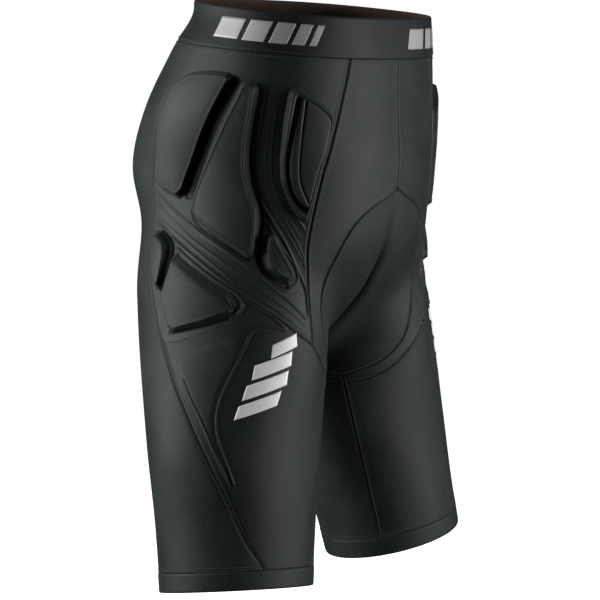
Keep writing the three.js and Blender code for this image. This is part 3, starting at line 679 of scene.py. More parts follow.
def print_film(name, color):
    """A silver transfer print: satin, with the knit showing through and fine crazing."""
    material, tree, shader = new_material(name, color, 0.42, 0.5)
    weave = scaled_weave(tree, 0.9, 0.7)
    grain = node(tree, "ShaderNodeTexNoise", [("Vector", weave)], Scale=0.5, Detail=5.0, Roughness=0.65)
    slow = node(tree, "ShaderNodeTexNoise", [("Vector", scaled_weave(tree, 40, 40))], Scale=1.0, Detail=2.0)
    mixed = node(tree, "ShaderNodeMath", [(0, grain.outputs["Fac"]), (1, slow.outputs["Fac"])],
                 operation="MULTIPLY")
    ramp = node(tree, "ShaderNodeValToRGB", [("Fac", mixed.outputs[0])])
    low, high = ramp.color_ramp.elements
    low.position, high.position = 0.1, 0.38
    low.color = (*[c * 0.78 for c in color], 1)
    high.color = (*color, 1)
    tree.links.new(ramp.outputs["Color"], shader.inputs["Base Color"])
    bump = node(tree, "ShaderNodeBump", [("Height", grain.outputs["Fac"])], Strength=0.35, Distance=0.08 * MM)
    tree.links.new(bump.outputs[0], shader.inputs["Normal"])
    return material


SHELL = (0.0148, 0.0182, 0.0190)
PAD = (0.0160, 0.0196, 0.0204)
ELASTIC = (0.0098, 0.0120, 0.0126)
THREAD = (0.028, 0.032, 0.033)
LINING = (0.020, 0.0115, 0.008)
MESH = (0.012, 0.0125, 0.013)
SILICONE = (0.02, 0.022, 0.023)
SILVER = (0.78, 0.76, 0.79)
GREY_SILVER = (0.3, 0.3, 0.31)
SATIN = (0.7, 0.7, 0.7)

shell_cloth = knit("shell_knit", SHELL, sheen=0.02, sheen_tint=(0.75, 0.9, 0.92))
pad_cloth = knit("moulded_knit", PAD, roughness=0.47, wale=0.8, relief_mm=0.08, sheen=0.06,
                 sheen_tint=(0.78, 0.9, 0.92))
elastic_cloth = knit("woven_elastic", ELASTIC, roughness=0.52, wale=1.1, course=0.5, relief_mm=0.1, sheen=0.05)
thread_cloth = knit("polyester_thread", THREAD, roughness=0.4, specular=0.4, wale=0.5, course=0.3)
lining_cloth = knit("brushed_lining", LINING, roughness=0.9, specular=0.05, wale=1.4, course=1.2,
                    relief_mm=0.4, sheen=0.5, sheen_tint=(0.6, 0.45, 0.4), sheen_roughness=0.6)
mesh_cloth = knit("mesh_lining", MESH, roughness=0.8, specular=0.1, wale=1.6, course=1.6, relief_mm=0.3)
tape_rubber = knit("ribbed_silicone", SILICONE, roughness=0.35, specular=0.5, wale=3.0, course=1.6, relief_mm=0.3)
silver_print = print_film("silver_print", SILVER)
grey_print = print_film("grey_print", GREY_SILVER)
label_satin = knit("label_satin", SATIN, roughness=0.35, specular=0.4, wale=0.4, course=0.3, relief_mm=0.04)


def finish_piece(piece, material, slot, *nodes):
    piece.data.materials.clear()
    piece.data.materials.append(material)
    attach(piece, "root")
    if nodes:
        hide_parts(*nodes)
    return piece


def finish_pair(piece, name, material, slot, *nodes):
    """Finishes the right piece and adds the left one; each stands for its own side's CAD nodes."""
    left = mirrored(piece, f"{name}_left")
    finish_piece(piece, material, slot, *[f"{n}_R" for n in nodes])
    finish_piece(left, material, slot, *[f"{n}_L" for n in nodes])
    return piece, left


# ---------------------------------------------------------------- the shell's panels
# Panel: its borders, its size down and across in mm, the cell in mm, and its flat width, length and area in m.
panels = {
    "front_panel": dict(
        top=straight(seams["centre_front"][0], seams["front"][0], 4),
        bottom=straight(gusset_low, inseam_top, 4),
        left=joined(seams["centre_front"], seams["gusset_front"]),
        right=joined(seams["front"], seams["lower_diagonal"]),
        size=(340, 95), cell=2.2, flat=(0.10, 0.33), area=0.0169),
    "side_panel": dict(
        top=straight(seams["front"][0], seams["back_upper"][0], 4),
        bottom=seams["diagonal"][::-1],
        left=seams["front"], right=seams["back_upper"],
        size=(272, 235), cell=0.95, flat=(0.235, 0.26), area=0.0413),
    "thigh_panel": dict(
        top=joined(seams["lower_diagonal"][::-1], seams["diagonal"][::-1]),
        bottom=straight(hem_inner, hem_back, 12),
        left=seams["inseam"], right=seams["back_lower"],
        size=(215, 260), cell=0.95, flat=(0.27, 0.24), area=0.0364),
    "back_panel": dict(
        top=straight(seams["back_upper"][0], seams["centre_back"][0], 4),
        bottom=straight(hem_back, turned(hem_inner), 12),
        left=joined(seams["back_upper"], seams["back_lower"]),
        right=joined(seams["centre_back"], seams["gusset_back"], seams["back_inseam"]),
        size=(500, 240), cell=2.4, flat=(0.30, 0.49), area=0.1084),
}
PANEL_MATERIALS = {"side_panel": (pad_cloth, "moulded_fabric")}
for panel_name, p in panels.items():
    rows, columns = graded(p["size"][0], p["cell"]), graded(p["size"][1], p["cell"])
    cells = patch(p["top"], p["bottom"], p["left"], p["right"], rows, columns)
    points = surface(cells)
    # The panel gets its relief and the painted shade of its grooves.
    height, painted_shade = relief(cells, points)
    piece = sheet(f"{panel_name}_right", cells, points, height, -FABRIC + crease(points), shade=painted_shade)
    cloth, cloth_slot = PANEL_MATERIALS.get(panel_name, (shell_cloth, "shell_fabric"))
    for made in finish_pair(piece, panel_name, cloth, cloth_slot, panel_name):
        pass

# ---------------------------------------------------------------- the crotch gusset
CROTCH_PIVOT = np.array([0, 25, -225.0])
GUSSET_ROWS = 161
GUSSET_HALF_COLUMNS = 36
GUSSET_TIP = 0.002


def crotch_line(count):
    def bearing_of(point):
        return math.atan2(point[2] - CROTCH_PIVOT[2], point[1] - CROTCH_PIVOT[1])

    start = bearing_of(face_points(GUSSET_TOP_DEPTH, 0, -1)) - 2 * math.pi
    end = bearing_of(face_points(GUSSET_BACK_TOP_DEPTH, 0, 1))
    angle = np.linspace(start, end, count)
    ray = np.stack([np.zeros(count), np.cos(angle), np.sin(angle)], -1)

    def at(r):
        return CROTCH_PIVOT + ray * r[:, None]

    return at(edge_of(lambda r: body_value(at(r)) > 0, (count,)))


def gusset_grid(width, rows=GUSSET_ROWS, half_columns=GUSSET_HALF_COLUMNS):
    border = joined(seams["gusset_front"], seams["gusset_back"][::-1])
    edge = surface(along(border, np.linspace(GUSSET_TIP, 1 - GUSSET_TIP, rows)))
    centre = crotch_line(rows)
    share = np.linspace(1, 0, half_columns + 1)[None, :, None]
    half = settled(centre[:, None] + (edge - centre)[:, None] * share * width)
    half[:, -1] = centre
    left = half[:, :-1][:, ::-1] * np.array([-1, 1, 1])
    return np.concatenate([half, left], axis=1)


def plain_chart(points):
    """Places for the weave on a grid that has no bearings: distances along its rows and columns."""
    down = np.linalg.norm(np.diff(points, axis=0, prepend=points[:1]), axis=-1).mean(1).cumsum()
    wide = np.linalg.norm(np.diff(points, axis=1, prepend=points[:, :1]), axis=-1).cumsum(1)
    wide = wide - wide[:, wide.shape[1] // 2][:, None]
    return np.stack([np.broadcast_to(down[:, None], wide.shape), wide / MM_PER_DEGREE], -1)


gusset_points = gusset_grid(1)
gusset_height = seam_relief(gusset_points) + crease(gusset_points)
# Painted shade down the crotch crease, blacker where the fold is deepest.
gusset_shade = np.clip(-crease(gusset_points) / 4 - 0.35, 0, 1)
gusset = sheet("gusset_cloth", plain_chart(gusset_points), gusset_points, gusset_height,
               crease(gusset_points) - FABRIC, shade=gusset_shade)
gusset = finish_piece(gusset, shell_cloth, "shell_fabric", "crotch_gusset")

# ---------------------------------------------------------------- bands
WAIST_COLUMNS = 480


def round_rows(depths, columns):
    """Rows of points all the way round the waist, with the left half mirrored from the right."""
    half = columns // 2
    rows, cells = [], []
    for depth in depths:
        front, back = float(centre_bearing(depth, -1)), float(centre_bearing(depth, 1))
        places = np.stack([np.full(half + 1, depth), np.linspace(front, back, half + 1)], -1)
        line = surface(places)
        line[[0, -1], 0] = 0
        rows.append(np.concatenate([line, line[1:-1][::-1] * np.array([-1, 1, 1])]))
        cells.append(np.concatenate([places, places[1:-1][::-1]]))
    return np.array(rows), np.array(cells)


def band_heights(depths, proud, edge_roll, ribs, rib_height):
    """Height of a band's face by depth: rounded edges and fine ribs along its length."""
    start, end = depths[0], depths[-1]
    share = (depths - start) / (end - start)
    edge = np.minimum(depths - start, end - depths)
    roll = -edge_roll * np.exp(-((edge / 0.9) ** 2))
    return proud + roll + rib_height * np.cos(share * ribs * 2 * math.pi)


waist_depths = np.linspace(0, WAISTBAND_HEIGHT - 0.2, 41)
waist_points, waist_cells = round_rows(waist_depths, WAIST_COLUMNS)
waist_height = band_heights(waist_depths, 0.75, 0.7, 13, 0.05)
waistband = sheet("waistband_elastic", waist_cells, waist_points, waist_height[:, None], -1.0, round_=True)
finish_piece(waistband, elastic_cloth, "elastic", "waistband")

lining_depths = np.linspace(0.6, WAISTBAND_HEIGHT - 1, 17)
lining_points, lining_cells = round_rows(lining_depths, 240)
lining = sheet("waistband_brushed_lining", lining_cells, lining_points, -1.15, -2.9, round_=True)
finish_piece(lining, lining_cloth, "brushed_lining", "waistband_lining")


def leg_rows(depths, columns):
    bearings = np.linspace(0, 360, columns, endpoint=False)
    cells = np.stack(np.broadcast_arrays(np.asarray(depths, float)[:, None], bearings[None]), -1)
    return surface(cells), cells


hem_depths = np.linspace(HEM_TOP + 0.2, HEM_DEPTH, 21)
hem_points, hem_cells = leg_rows(hem_depths, 320)
hem_height = band_heights(hem_depths, 0.55, 0.6, 0, 0)
hem = sheet("hem_band_right", hem_cells, hem_points, hem_height[:, None], -1.1, round_=True)
finish_pair(hem, "hem_band", shell_cloth, "shell_fabric", "hem_band")

tape_depths = np.linspace(HEM_TOP + 3, HEM_DEPTH - 3, 25)
tape_points, tape_cells = leg_rows(tape_depths, 160)
tape_ribs = -2.6 + 0.35 * np.cos(np.linspace(0, 6 * 2 * math.pi, len(tape_depths)))
tape = sheet("grip_tape_right", tape_cells, tape_points, -1.5, tape_ribs[:, None], round_=True, step=1)
finish_pair(tape, "grip_tape", tape_rubber, "silicone", "grip_tape")

# ---------------------------------------------------------------- pads
# Each pad: the outline of its foot, the outline of its crown, its height, its crown's rise, and pressed lines.
PADS = {
    "hip_pad_back": dict(
        foot=[(75, 116), (63, 104), (59, 90), (59, 77), (62.5, 74.2), (85, 80), (123, 90.9), (169, 104.4),
              (175.5, 109), (169, 121), (159, 128.5), (143, 127), (118, 122.5), (96, 119)],
        crown=[(77, 112), (66, 102), (62.5, 90), (62.5, 78), (65, 75.8), (85, 81.2), (123, 92.2),
               (166, 105.2), (171, 109.5), (165, 119.5), (157, 124.5), (143, 123.5), (118, 118.5), (95, 115)],
        height=7.0, rise=2.0, lip=0.15, lines=[]),
    "hip_pad_middle": dict(
        foot=[(64.5, 70), (63.5, 63), (69, 59.5), (83, 60), (105, 61), (129, 61), (147, 59.5), (163, 56.5),
              (180, 50.5), (193, 49), (208, 49), (224, 49), (228, 52), (213, 70.5), (193, 94.5),
              (184, 99), (172, 98.6), (148, 92.3), (116, 82.9), (81, 73.4)],
        crown=[(68, 67), (68.5, 64), (72, 62), (95, 62.3), (124, 63.4), (147, 62), (165, 57.5), (184, 51.8),
               (195, 50.6), (208, 50.4), (220, 50.6), (225, 52.8), (212, 69), (192, 92.6), (184, 96.2),
               (172, 94.9), (148, 88.3), (116, 78.8), (81, 69.6)],
        height=6.6, rise=1.5, lip=0.55, lines=[]),
    "hip_pad_low": dict(
        foot=[(205, 41.5), (206, 37), (222, 30), (239, 22), (246, 20.5), (250, 25), (246, 32), (237, 39.5),
              (226, 42.5), (213, 43)],
        crown=None, height=4.6, rise=0.8, lip=0.5, lines=[]),
    "hip_pad_front": dict(
        foot=[(193, 24), (182, 30), (158, 38.5), (139, 41), (101, 43), (71, 42.5), (67, 38), (77, 29),
              (89, 17.5), (96, 14.5), (106, 14), (145, 16), (181, 18), (196, 19)],
        crown=[(190, 23.5), (181, 28.5), (157, 36.8), (139, 39.2), (101, 41.2), (73, 40.8), (70, 38), (79, 30),
               (90, 19), (96, 16.5), (106, 16), (145, 17.8), (181, 19.8), (191, 20.5)],
        height=5.2, rise=0.6, lip=0.4,
        lines=[([(79, 37.5), (112, 38), (142, 37), (162, 33.5), (180, 26), (184, 22)], 2.0, 4.4),
               ([(81, 33.5), (112, 32.5), (149, 29.5), (162, 27), (177, 21.5)], 0.9, 1.2),
               ([(79, 36), (81, 31), (94, 19.8), (99, 17.2), (112, 16.8), (148, 18.6), (183, 20.6)], 0.8, 0.9)]),
    "thigh_pad_back": dict(
        foot=[(208, 129.5), (206, 125), (210, 115.5), (218, 109.6), (230, 107.2), (243, 108.3), (259, 110.3),
              (257, 115.5), (234, 125), (219, 130)],
        crown=[(213, 126.5), (212, 122.5), (217, 116.5), (226, 112.6), (240, 111.6), (253, 111.6), (251, 115),
               (233, 121.5), (220, 126.5)],
        height=5.6, rise=1.4, lip=0.0, lines=[]),
    "thigh_pad_side": dict(
        foot=[(223, 103.5), (231, 93), (247, 74), (262, 57.5), (270, 55), (276, 57.5), (286, 75), (294.5, 94.5),
              (292, 99.5), (277, 105.5), (263, 109.5), (244, 107.5), (228, 106)],
        crown=[(228, 102.5), (236, 93), (251, 75.5), (264, 61), (270, 58.5), (274, 60), (283.5, 76),
               (291.7, 94), (289.5, 98), (276, 103.5), (263, 107), (246, 105), (231, 104)],
        height=4.0, rise=2.2, lip=0.3,
        lines=[([(229, 101), (237, 91.5), (251, 75.5), (262, 64), (271, 59.5)], 3.6, 2.6)]),
}
PAD_CELL = 0.8
PAD_SKIRT = 2.6
CORNER_RADIUS = 3.5
PAD_INSET = 3.2
PAD_FLOOR = -0.95


def rounded(outline, radius):
    """A closed outline of places with each corner rounded, as a dense ring."""
    ring = np.array(outline, float) * CHART
    before, after = np.roll(ring, 1, axis=0), np.roll(ring, -1, axis=0)
    made = []
    for a, p, b in zip(before, ring, after):
        cut_a = p + (a - p) * min(radius / np.linalg.norm(a - p), 0.48)
        cut_b = p + (b - p) * min(radius / np.linalg.norm(b - p), 0.48)
        t = np.linspace(0, 1, 6)[:, None]
        made.append((1 - t) ** 2 * cut_a + 2 * t * (1 - t) * p + t**2 * cut_b)
    return np.concatenate(made) / CHART


def lattice(outline, cell, margin):
    """A grid of places over an outline, with a margin, in cells of a size in mm."""
    low, high = outline.min(0) - margin / CHART, outline.max(0) + margin / CHART
    count = np.ceil((high - low) * CHART / cell).astype(int)
    depths = np.linspace(low[0], high[0], count[0] + 1)
    bearings = np.linspace(low[1], high[1], count[1] + 1)
    return np.stack(np.meshgrid(depths, bearings, indexing="ij"), -1)


SWELL_CELL = 4.0
SWELL_RIM = 4.0
SWELL_FRAMES = 20
# Pressure, mass and stiffness were chosen for a rise like the photographed pads', not from a fabric.
SWELL_PRESSURE = 1500
SWELL_MASS = 0.01
SWELL_STIFFNESS = 15
SWELL_BENDING = 0.5
SWELL_BLUR = 7


def grid_quads(keep, points, normals):
    """The quads of a grid whose four corners are kept, facing out."""
    full = keep[:-1, :-1] & keep[1:, :-1] & keep[1:, 1:] & keep[:-1, 1:]
    index = np.arange(keep.size).reshape(keep.shape)
    quads = np.stack([index[:-1, :-1], index[:-1, 1:], index[1:, 1:], index[1:, :-1]], -1)[full]
    flat = points.reshape(-1, 3)
    a, b, d = (flat[quads[0, k]] for k in (0, 1, 3))
    faces_out = np.cross(b - a, d - a) @ normals.reshape(-1, 3)[quads[0, 0]] > 0
    return quads if faces_out else quads[:, ::-1]


def swell_sheet(name, pad):
    """A pad's cover as a coarse sheet held at its rim, ready to be blown up."""
    cells = lattice(np.array(pad["foot"], float), SWELL_CELL, 2)
    points = surface(cells)
    normals = outward(points)
    in_foot = depth_inside(cells, points, rounded(pad["foot"], CORNER_RADIUS)).ravel()
    quads = grid_quads((in_foot > -SWELL_CELL).reshape(cells.shape[:2]), points, normals)
    used = np.unique(quads)
    place = np.full(in_foot.size, -1)
    place[used] = np.arange(len(used))
    start = (points + normals * pad["height"]).reshape(-1, 3)[used]
    piece = make_object(f"{name}_swell", start, [place[quads]], np.zeros((len(used), 2)))
    rim = piece.vertex_groups.new(name="rim")
    rim.add(np.flatnonzero(in_foot[used] < SWELL_RIM).tolist(), 1.0, "REPLACE")
    cloth = piece.modifiers.new("Cloth", "CLOTH")
    cloth.settings.quality = 8
    cloth.settings.mass = SWELL_MASS
    cloth.settings.tension_stiffness = SWELL_STIFFNESS
    cloth.settings.compression_stiffness = SWELL_STIFFNESS
    cloth.settings.shear_stiffness = SWELL_STIFFNESS / 3
    cloth.settings.bending_stiffness = SWELL_BENDING
    cloth.settings.use_pressure = True
    cloth.settings.uniform_pressure_force = SWELL_PRESSURE
    cloth.settings.vertex_group_mass = "rim"
    cloth.settings.effector_weights.gravity = 0
    cloth.collision_settings.use_collision = False
    return piece, cells, start, normals.reshape(-1, 3)[used], used


def swelling():
    """Blows up every pad's cover by cloth simulation: for each, a lattice and its rise in mm."""
    sheets = {name: swell_sheet(name, pad) for name, pad in PADS.items()}
    for step in range(1, SWELL_FRAMES + 1):
        bpy.context.scene.frame_set(step)
    graph = bpy.context.evaluated_depsgraph_get()
    found = {}
    for name, (piece, cells, start, normals, used) in sheets.items():
        blown = piece.evaluated_get(graph).data
        points = np.empty(len(blown.vertices) * 3, np.float32)
        blown.vertices.foreach_get("co", points)
        rise = ((points.reshape(-1, 3) / MM - start) * normals).sum(1).clip(0)
        grid = np.zeros(cells.shape[0] * cells.shape[1])
        grid[used] = rise
        found[name] = cells, grid.reshape(cells.shape[:2])
    for piece, *_ in sheets.values():
        bpy.data.objects.remove(piece)
    bpy.context.scene.frame_set(1)
    return found


def on_lattice(cells, values, places):
    """Values between the points of a lattice."""
    low, high = cells[0, 0], cells[-1, -1]
    size = np.array(cells.shape[:2]) - 1
    at = np.clip((places - low) / (high - low) * size, 0, size - 0.001)
    i, j = at[..., 0].astype(int), at[..., 1].astype(int)
    u, v = at[..., 0] - i, at[..., 1] - j
    return ((1 - u) * ((1 - v) * values[i, j] + v * values[i, j + 1])
            + u * ((1 - v) * values[i + 1, j] + v * values[i + 1, j + 1]))


def blurred(values, count):
    kernel = np.ones(count) / count
    for axis in (0, 1, 0, 1):
        values = np.apply_along_axis(np.convolve, axis, values, kernel, "same")
    return values


swell = swelling()


def pad_height(pad_name, cells, points, pad):
    """The height of a pad's face over the shell, and how far inside its foot each cell is."""
    foot = rounded(pad["foot"], CORNER_RADIUS)
    in_foot = depth_inside(cells, points, foot)
    if pad["crown"]:
        crown = rounded(pad["crown"], CORNER_RADIUS * 0.7)
        in_crown = depth_inside(cells, points, crown)
        wall = np.maximum(in_foot, 0) / np.maximum(np.maximum(in_foot, 0) + np.maximum(-in_crown, 0), 1e-6)
        dome = np.maximum(in_crown, 0)
    else:
        wall = np.clip(in_foot / PAD_INSET, 0, 1)
        dome = np.maximum(in_foot - PAD_INSET, 0)
    eased = 0.55 * wall + 0.45 * smooth_step(wall)
    if swell:
        blown = blurred(on_lattice(*swell[pad_name], cells), SWELL_BLUR) * smooth_step(wall)
        rise = pad["rise"] * (1 - np.exp(-blown / pad["rise"]))
    else:
        rise = pad["rise"] * (1 - np.exp(-dome / 12))
    height = pad["height"] * eased + rise
    edge = in_crown if pad["crown"] else in_foot - PAD_INSET
    height += pad["lip"] * np.exp(-(((edge - 0.6) / 1.3) ** 2))
    skirt = 0.55 * np.exp(-np.maximum(in_foot, 0) / 1.2) * np.exp(np.minimum(in_foot, 0) * 1.3)
    sunk = -0.75 * smooth_step(-in_foot / PAD_SKIRT)
    height = height + skirt + sunk
    for places, width, drop in pad["lines"]:
        height -= drop * np.exp(-((distance(points, on_body(places)) / width) ** 2))
    return height, in_foot


def cut_solid(name, cells, points, height, floor, keep, shade=None):
    """A closed solid over the kept cells of a grid, between a face and a floor."""
    normals = outward(points)
    quads = grid_quads(keep, points, normals)
    sides = np.concatenate([quads[:, [k, (k + 1) % 4]] for k in range(4)])
    keys = sides[:, 0].astype(np.int64) * keep.size + sides[:, 1]
    twins = sides[:, 1].astype(np.int64) * keep.size + sides[:, 0]
    border = sides[~np.isin(keys, twins)]
    used = np.unique(quads)
    place = np.full(keep.size, -1)
    place[used] = np.arange(len(used))
    top = (points + normals * height[..., None]).reshape(-1, 3)[used]
    low = (points + normals * floor).reshape(-1, 3)[used]
    quads, border = place[quads], place[border]
    under = quads[:, ::-1] + len(used)
    walls = np.stack([border[:, 1], border[:, 0], border[:, 0] + len(used), border[:, 1] + len(used)], -1)
    faces = [quads, under, walls]
    chart = (cells[..., ::-1] * np.array([MM_PER_DEGREE, 1])).reshape(-1, 2)[used]
    dark = None if shade is None else np.tile(shade.ravel()[used], 2)
    return make_object(name, np.concatenate([top, low]), faces, np.concatenate([chart, chart]), dark)


for pad_name, pad in PADS.items():
    cells = lattice(np.array(pad["foot"], float), PAD_CELL, PAD_SKIRT + 3)
    points = surface(cells)
    height, in_foot = pad_height(pad_name, cells, points, pad)
    # Painted shade on the pad walls that stand in the grooves.
    painted_shade = painted_groove_shade(points)
    piece = cut_solid(f"{pad_name}_right", cells, points, height, PAD_FLOOR, in_foot > -PAD_SKIRT, painted_shade)
    for made in finish_pair(piece, pad_name, pad_cloth, "moulded_fabric", f"{pad_name}_cover",
                            f"{pad_name}_foam"):
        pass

# ---------------------------------------------------------------- inside: tailbone pad, chamois, liners
TAILBONE = [(112, -34), (106, 0), (112, 34), (135, 37), (172, 28), (196, 0), (172, -28), (135, -37)]
ring = spline([(x, depth) for depth, x in TAILBONE], 10, closed=True)
grid_x, grid_depth = np.meshgrid(np.arange(-42, 42.1, 1.5), np.arange(100, 203, 1.5), indexing="xy")
tail_points = face_points(grid_depth, grid_x, 1)
tail_cells = np.stack([grid_depth, grid_x / MM_PER_DEGREE], -1)
flat_cells = np.stack([grid_x, grid_depth], -1)
closed_ring = np.vstack([ring, ring[:1]])
tail_ring = face_points(closed_ring[:, 1], closed_ring[:, 0], 1)
tail_in = np.where(inside(flat_cells, ring), 1, -1) * distance(tail_points, tail_ring, 45)
tail_drop = -2.0 - 7.0 * smooth_step(tail_in / 8) - 0.8 * (1 - np.exp(-np.maximum(tail_in, 0) / 9))
quilt = np.minimum(np.abs((grid_x + grid_depth) % 22 - 11), np.abs((grid_x - grid_depth) % 22 - 11))
tail_drop += 0.9 * np.exp(-((quilt / 1.3) ** 2)) * smooth_step((tail_in - 4) / 6)
tailbone = cut_solid("tailbone_pad", tail_cells, tail_points, tail_drop, -1.6, tail_in > -5)
finish_piece(tailbone, mesh_cloth, "mesh_lining", "tailbone_pocket", "tailbone_foam")

chamois_points = gusset_grid(0.8, 81, 16)[10:-10]
chamois_points = chamois_points[:(len(chamois_points) - 1) // INNER_STEP * INNER_STEP + 1]
rows_in = np.minimum(np.arange(len(chamois_points)), np.arange(len(chamois_points))[::-1])[:, None]
columns_in = np.minimum(np.arange(33), np.arange(33)[::-1])[None]
edge_share = smooth_step(np.minimum(rows_in / 6, columns_in / 4))
fold = crease(chamois_points)
chamois = sheet("chamois_pad", plain_chart(chamois_points), chamois_points, fold - 5.0,
                fold - 6.2 - 3.0 * edge_share, step=1)
finish_piece(chamois, mesh_cloth, "mesh_lining", "crotch_chamois")

side = panels["side_panel"]
liner_shares = np.linspace(0.06, 0.94, 61)
liner_cells = patch(side["top"], side["bottom"], side["left"], side["right"], liner_shares, liner_shares)
liner_points = surface(liner_cells)
liner = sheet("side_liner_right", liner_cells, liner_points, -2.5, -3.1)
for made in finish_pair(liner, "side_liner", mesh_cloth, "mesh_lining", "side_liner"):
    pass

label_cells = patch(*[straight(a, b) for a, b in (
    ((44, 190), (44, 204)), ((78, 190), (78, 204)), ((44, 190), (78, 190)), ((44, 204), (78, 204)))],
    np.linspace(0, 1, 13), np.linspace(0, 1, 9))
label_points = surface(label_cells)
label = sheet("care_label_satin", label_cells, label_points, -3.0, -3.35, step=1)
finish_piece(label, label_satin, "label_satin", "care_label")

# ---------------------------------------------------------------- prints
PRINT = 0.22


def bar(corners, rows=10, columns=24):
    a, b, c, d = corners
    return patch(straight(a, b), straight(d, c), straight(a, d), straight(b, c),
                 np.linspace(0, 1, rows), np.linspace(0, 1, columns))


def print_piece(name, bars, lift):
    """Several printed bars as one piece that follows the cloth."""
    made = []
    for corners in bars:
        cells = bar(corners)
        points = surface(cells)
        height = relief(cells, points)[0] if lift is None else lift
        made.append(sheet(name, cells, points, np.add(height, PRINT + 0.06), np.add(height, -0.1), step=1))
    with bpy.context.temp_override(active_object=made[0], selected_editable_objects=made):
        bpy.ops.object.join()
    made[0].name = name
    return made[0]


# A plain badge of slanted bars on each thigh.
BADGE = [
    [(306, 33), (296, 17), (309, 16), (319, 34)],
    [(325, 44), (313, 19.5), (327, 20), (339, 46)],
    [(344, 49), (331, 21.5), (345, 22.5), (358, 52)],
    [(363, 54), (350, 26), (364, 29), (376, 57)],
]
badge = print_piece("thigh_emblem_right", BADGE, None)
finish_pair(badge, "thigh_emblem", silver_print, "silver_print", "thigh_emblem")


def slanted_bars(start, end, top, bottom, widths, slant):
    """Slanted bars of the given widths in a row, as corners."""
    total = sum(widths)
    at, made = start, []
    for i, width in enumerate(widths):
        step = (end - start) * width / total
        if i % 2 == 0:
            made.append([(top, at + slant), (top, at + step + slant), (bottom, at + step), (bottom, at)])
        at += step
    return made


WAIST_LIFT = 0.78
SIDE_BARS = slanted_bars(92, 31, 9, 28, [12, 2, 9, 2, 7, 2, 5, 2, 3], -4)
side_print = print_piece("waist_mark_side", SIDE_BARS, WAIST_LIFT)
finish_piece(side_print, grey_print, "silver_print", "waist_mark_side_R")
FRONT_BARS = slanted_bars(-22, 22, 10, 29, [9, 2, 6, 2, 4], 3)
front_right = print_piece("waist_mark_front", FRONT_BARS, WAIST_LIFT)
front_print = mirrored(front_right, "waist_mark_front_print")
bpy.data.objects.remove(front_right)
finish_piece(front_print, grey_print, "silver_print", "waist_mark_front_L")

# ---------------------------------------------------------------- stitching
STITCH = 2.1
STITCH_PITCH = 2.9
THREAD_RADIUS = 0.32
THREAD_SIDES = 4


def stitches(lines, name):
    """Short raised threads along lines of surface points, given with their normals."""
    points, faces, uv = [], [], []
    ring_angles = np.linspace(0, 2 * math.pi, THREAD_SIDES, endpoint=False)
    profile_at = [(-0.5, 0.35), (0, 1.0), (0.5, 0.35)]
    total = 0
    for line in lines:
        dense = spaced(line, max(int(np.linalg.norm(np.diff(line, axis=0), axis=1).sum() / STITCH_PITCH), 2))
        centre = (dense[:-1] + dense[1:]) / 2
        normal = outward(centre)
        tangent = dense[1:] - dense[:-1]
        tangent /= np.linalg.norm(tangent, axis=1, keepdims=True)
        side_way = np.cross(tangent, normal)
        for share, width in profile_at:
            sink = THREAD_RADIUS * (1.0 - width) * 1.2
            middle = centre + tangent * share * STITCH + normal * (0.12 - sink)
            for angle in ring_angles:
                points.append(middle + THREAD_RADIUS * width * (
                    side_way * math.cos(angle) * 1.15 + normal * math.sin(angle)))
        count, block = len(centre), len(profile_at) * THREAD_SIDES
        base = total + np.arange(count)
        for r in range(len(profile_at) - 1):
            for k in range(THREAD_SIDES):
                a, b = r * THREAD_SIDES + k, r * THREAD_SIDES + (k + 1) % THREAD_SIDES
                faces.append((base, count, a, b, a + THREAD_SIDES, b + THREAD_SIDES))
        for r, flip in ((0, True), (len(profile_at) - 1, False)):
            faces.append((base, count, [r * THREAD_SIDES + k for k in range(THREAD_SIDES)], flip))
        total += count * block
        uv.append(np.tile(centre[:, [1, 2]], (block, 1)))
    quads, caps = [], []
    for entry in faces:
        base, count = entry[0], entry[1]
        if len(entry) == 6:
            _, _, a, b, c, d = entry
            quads.append(np.stack([base + a * count, base + c * count, base + d * count, base + b * count], -1))
        else:
            corners = [base + k * count for k in entry[2]]
            caps.append(np.stack(corners[::-1] if not entry[3] else corners, -1))
    return make_object(name, np.concatenate(points), [np.concatenate(quads), np.concatenate(caps)],
                       np.concatenate(uv))


def beside(line, offset, lift):
    """A line of surface points moved sideways and up."""
    points = surface(line)
    normal = outward(points)
    tangent = np.gradient(points, axis=0)
    tangent /= np.linalg.norm(tangent, axis=1, keepdims=True)
    return points + np.cross(tangent, normal) * offset + normal * lift


def seam_rows(names, offsets, lift=0.25):
    return [beside(seams[name][::4], offset, lift) for name in names for offset in offsets]


right_lines = seam_rows(["front", "lower_diagonal", "gusset_front", "gusset_back"], (-1.9, 1.9))
right_lines += seam_rows(["back_upper", "back_lower"], (-2.0, 2.0))
right_lines += seam_rows(["inseam", "back_inseam"], (2.0,))
right_stitches = stitches(right_lines, "seam_stitching_right")
finish_pair(right_stitches, "seam_stitching", thread_cloth, "shell_fabric")

hem_lines = []
for drop in (-3.4, -0.9):
    ring_cells = np.stack([np.full(321, HEM_TOP + drop), np.linspace(0, 360, 321)], -1)
    hem_lines.append(beside(ring_cells, 0, 0.25))
hem_stitching = stitches(hem_lines, "hem_stitching_right")
finish_pair(hem_stitching, "hem_stitching", thread_cloth, "shell_fabric")

waist_lines = []
for depth, lift in ((WAISTBAND_HEIGHT + 2.0, 0.25), (WAISTBAND_HEIGHT - 3.0, 0.85)):
    places = np.stack([np.full(361, depth), np.linspace(
        float(centre_bearing(depth, -1)), float(centre_bearing(depth, 1)), 361)], -1)
    waist_lines.append(beside(places, 0, lift))
waist_stitching = stitches(waist_lines, "waist_stitching_right")
finish_pair(waist_stitching, "waist_stitching", thread_cloth, "elastic")

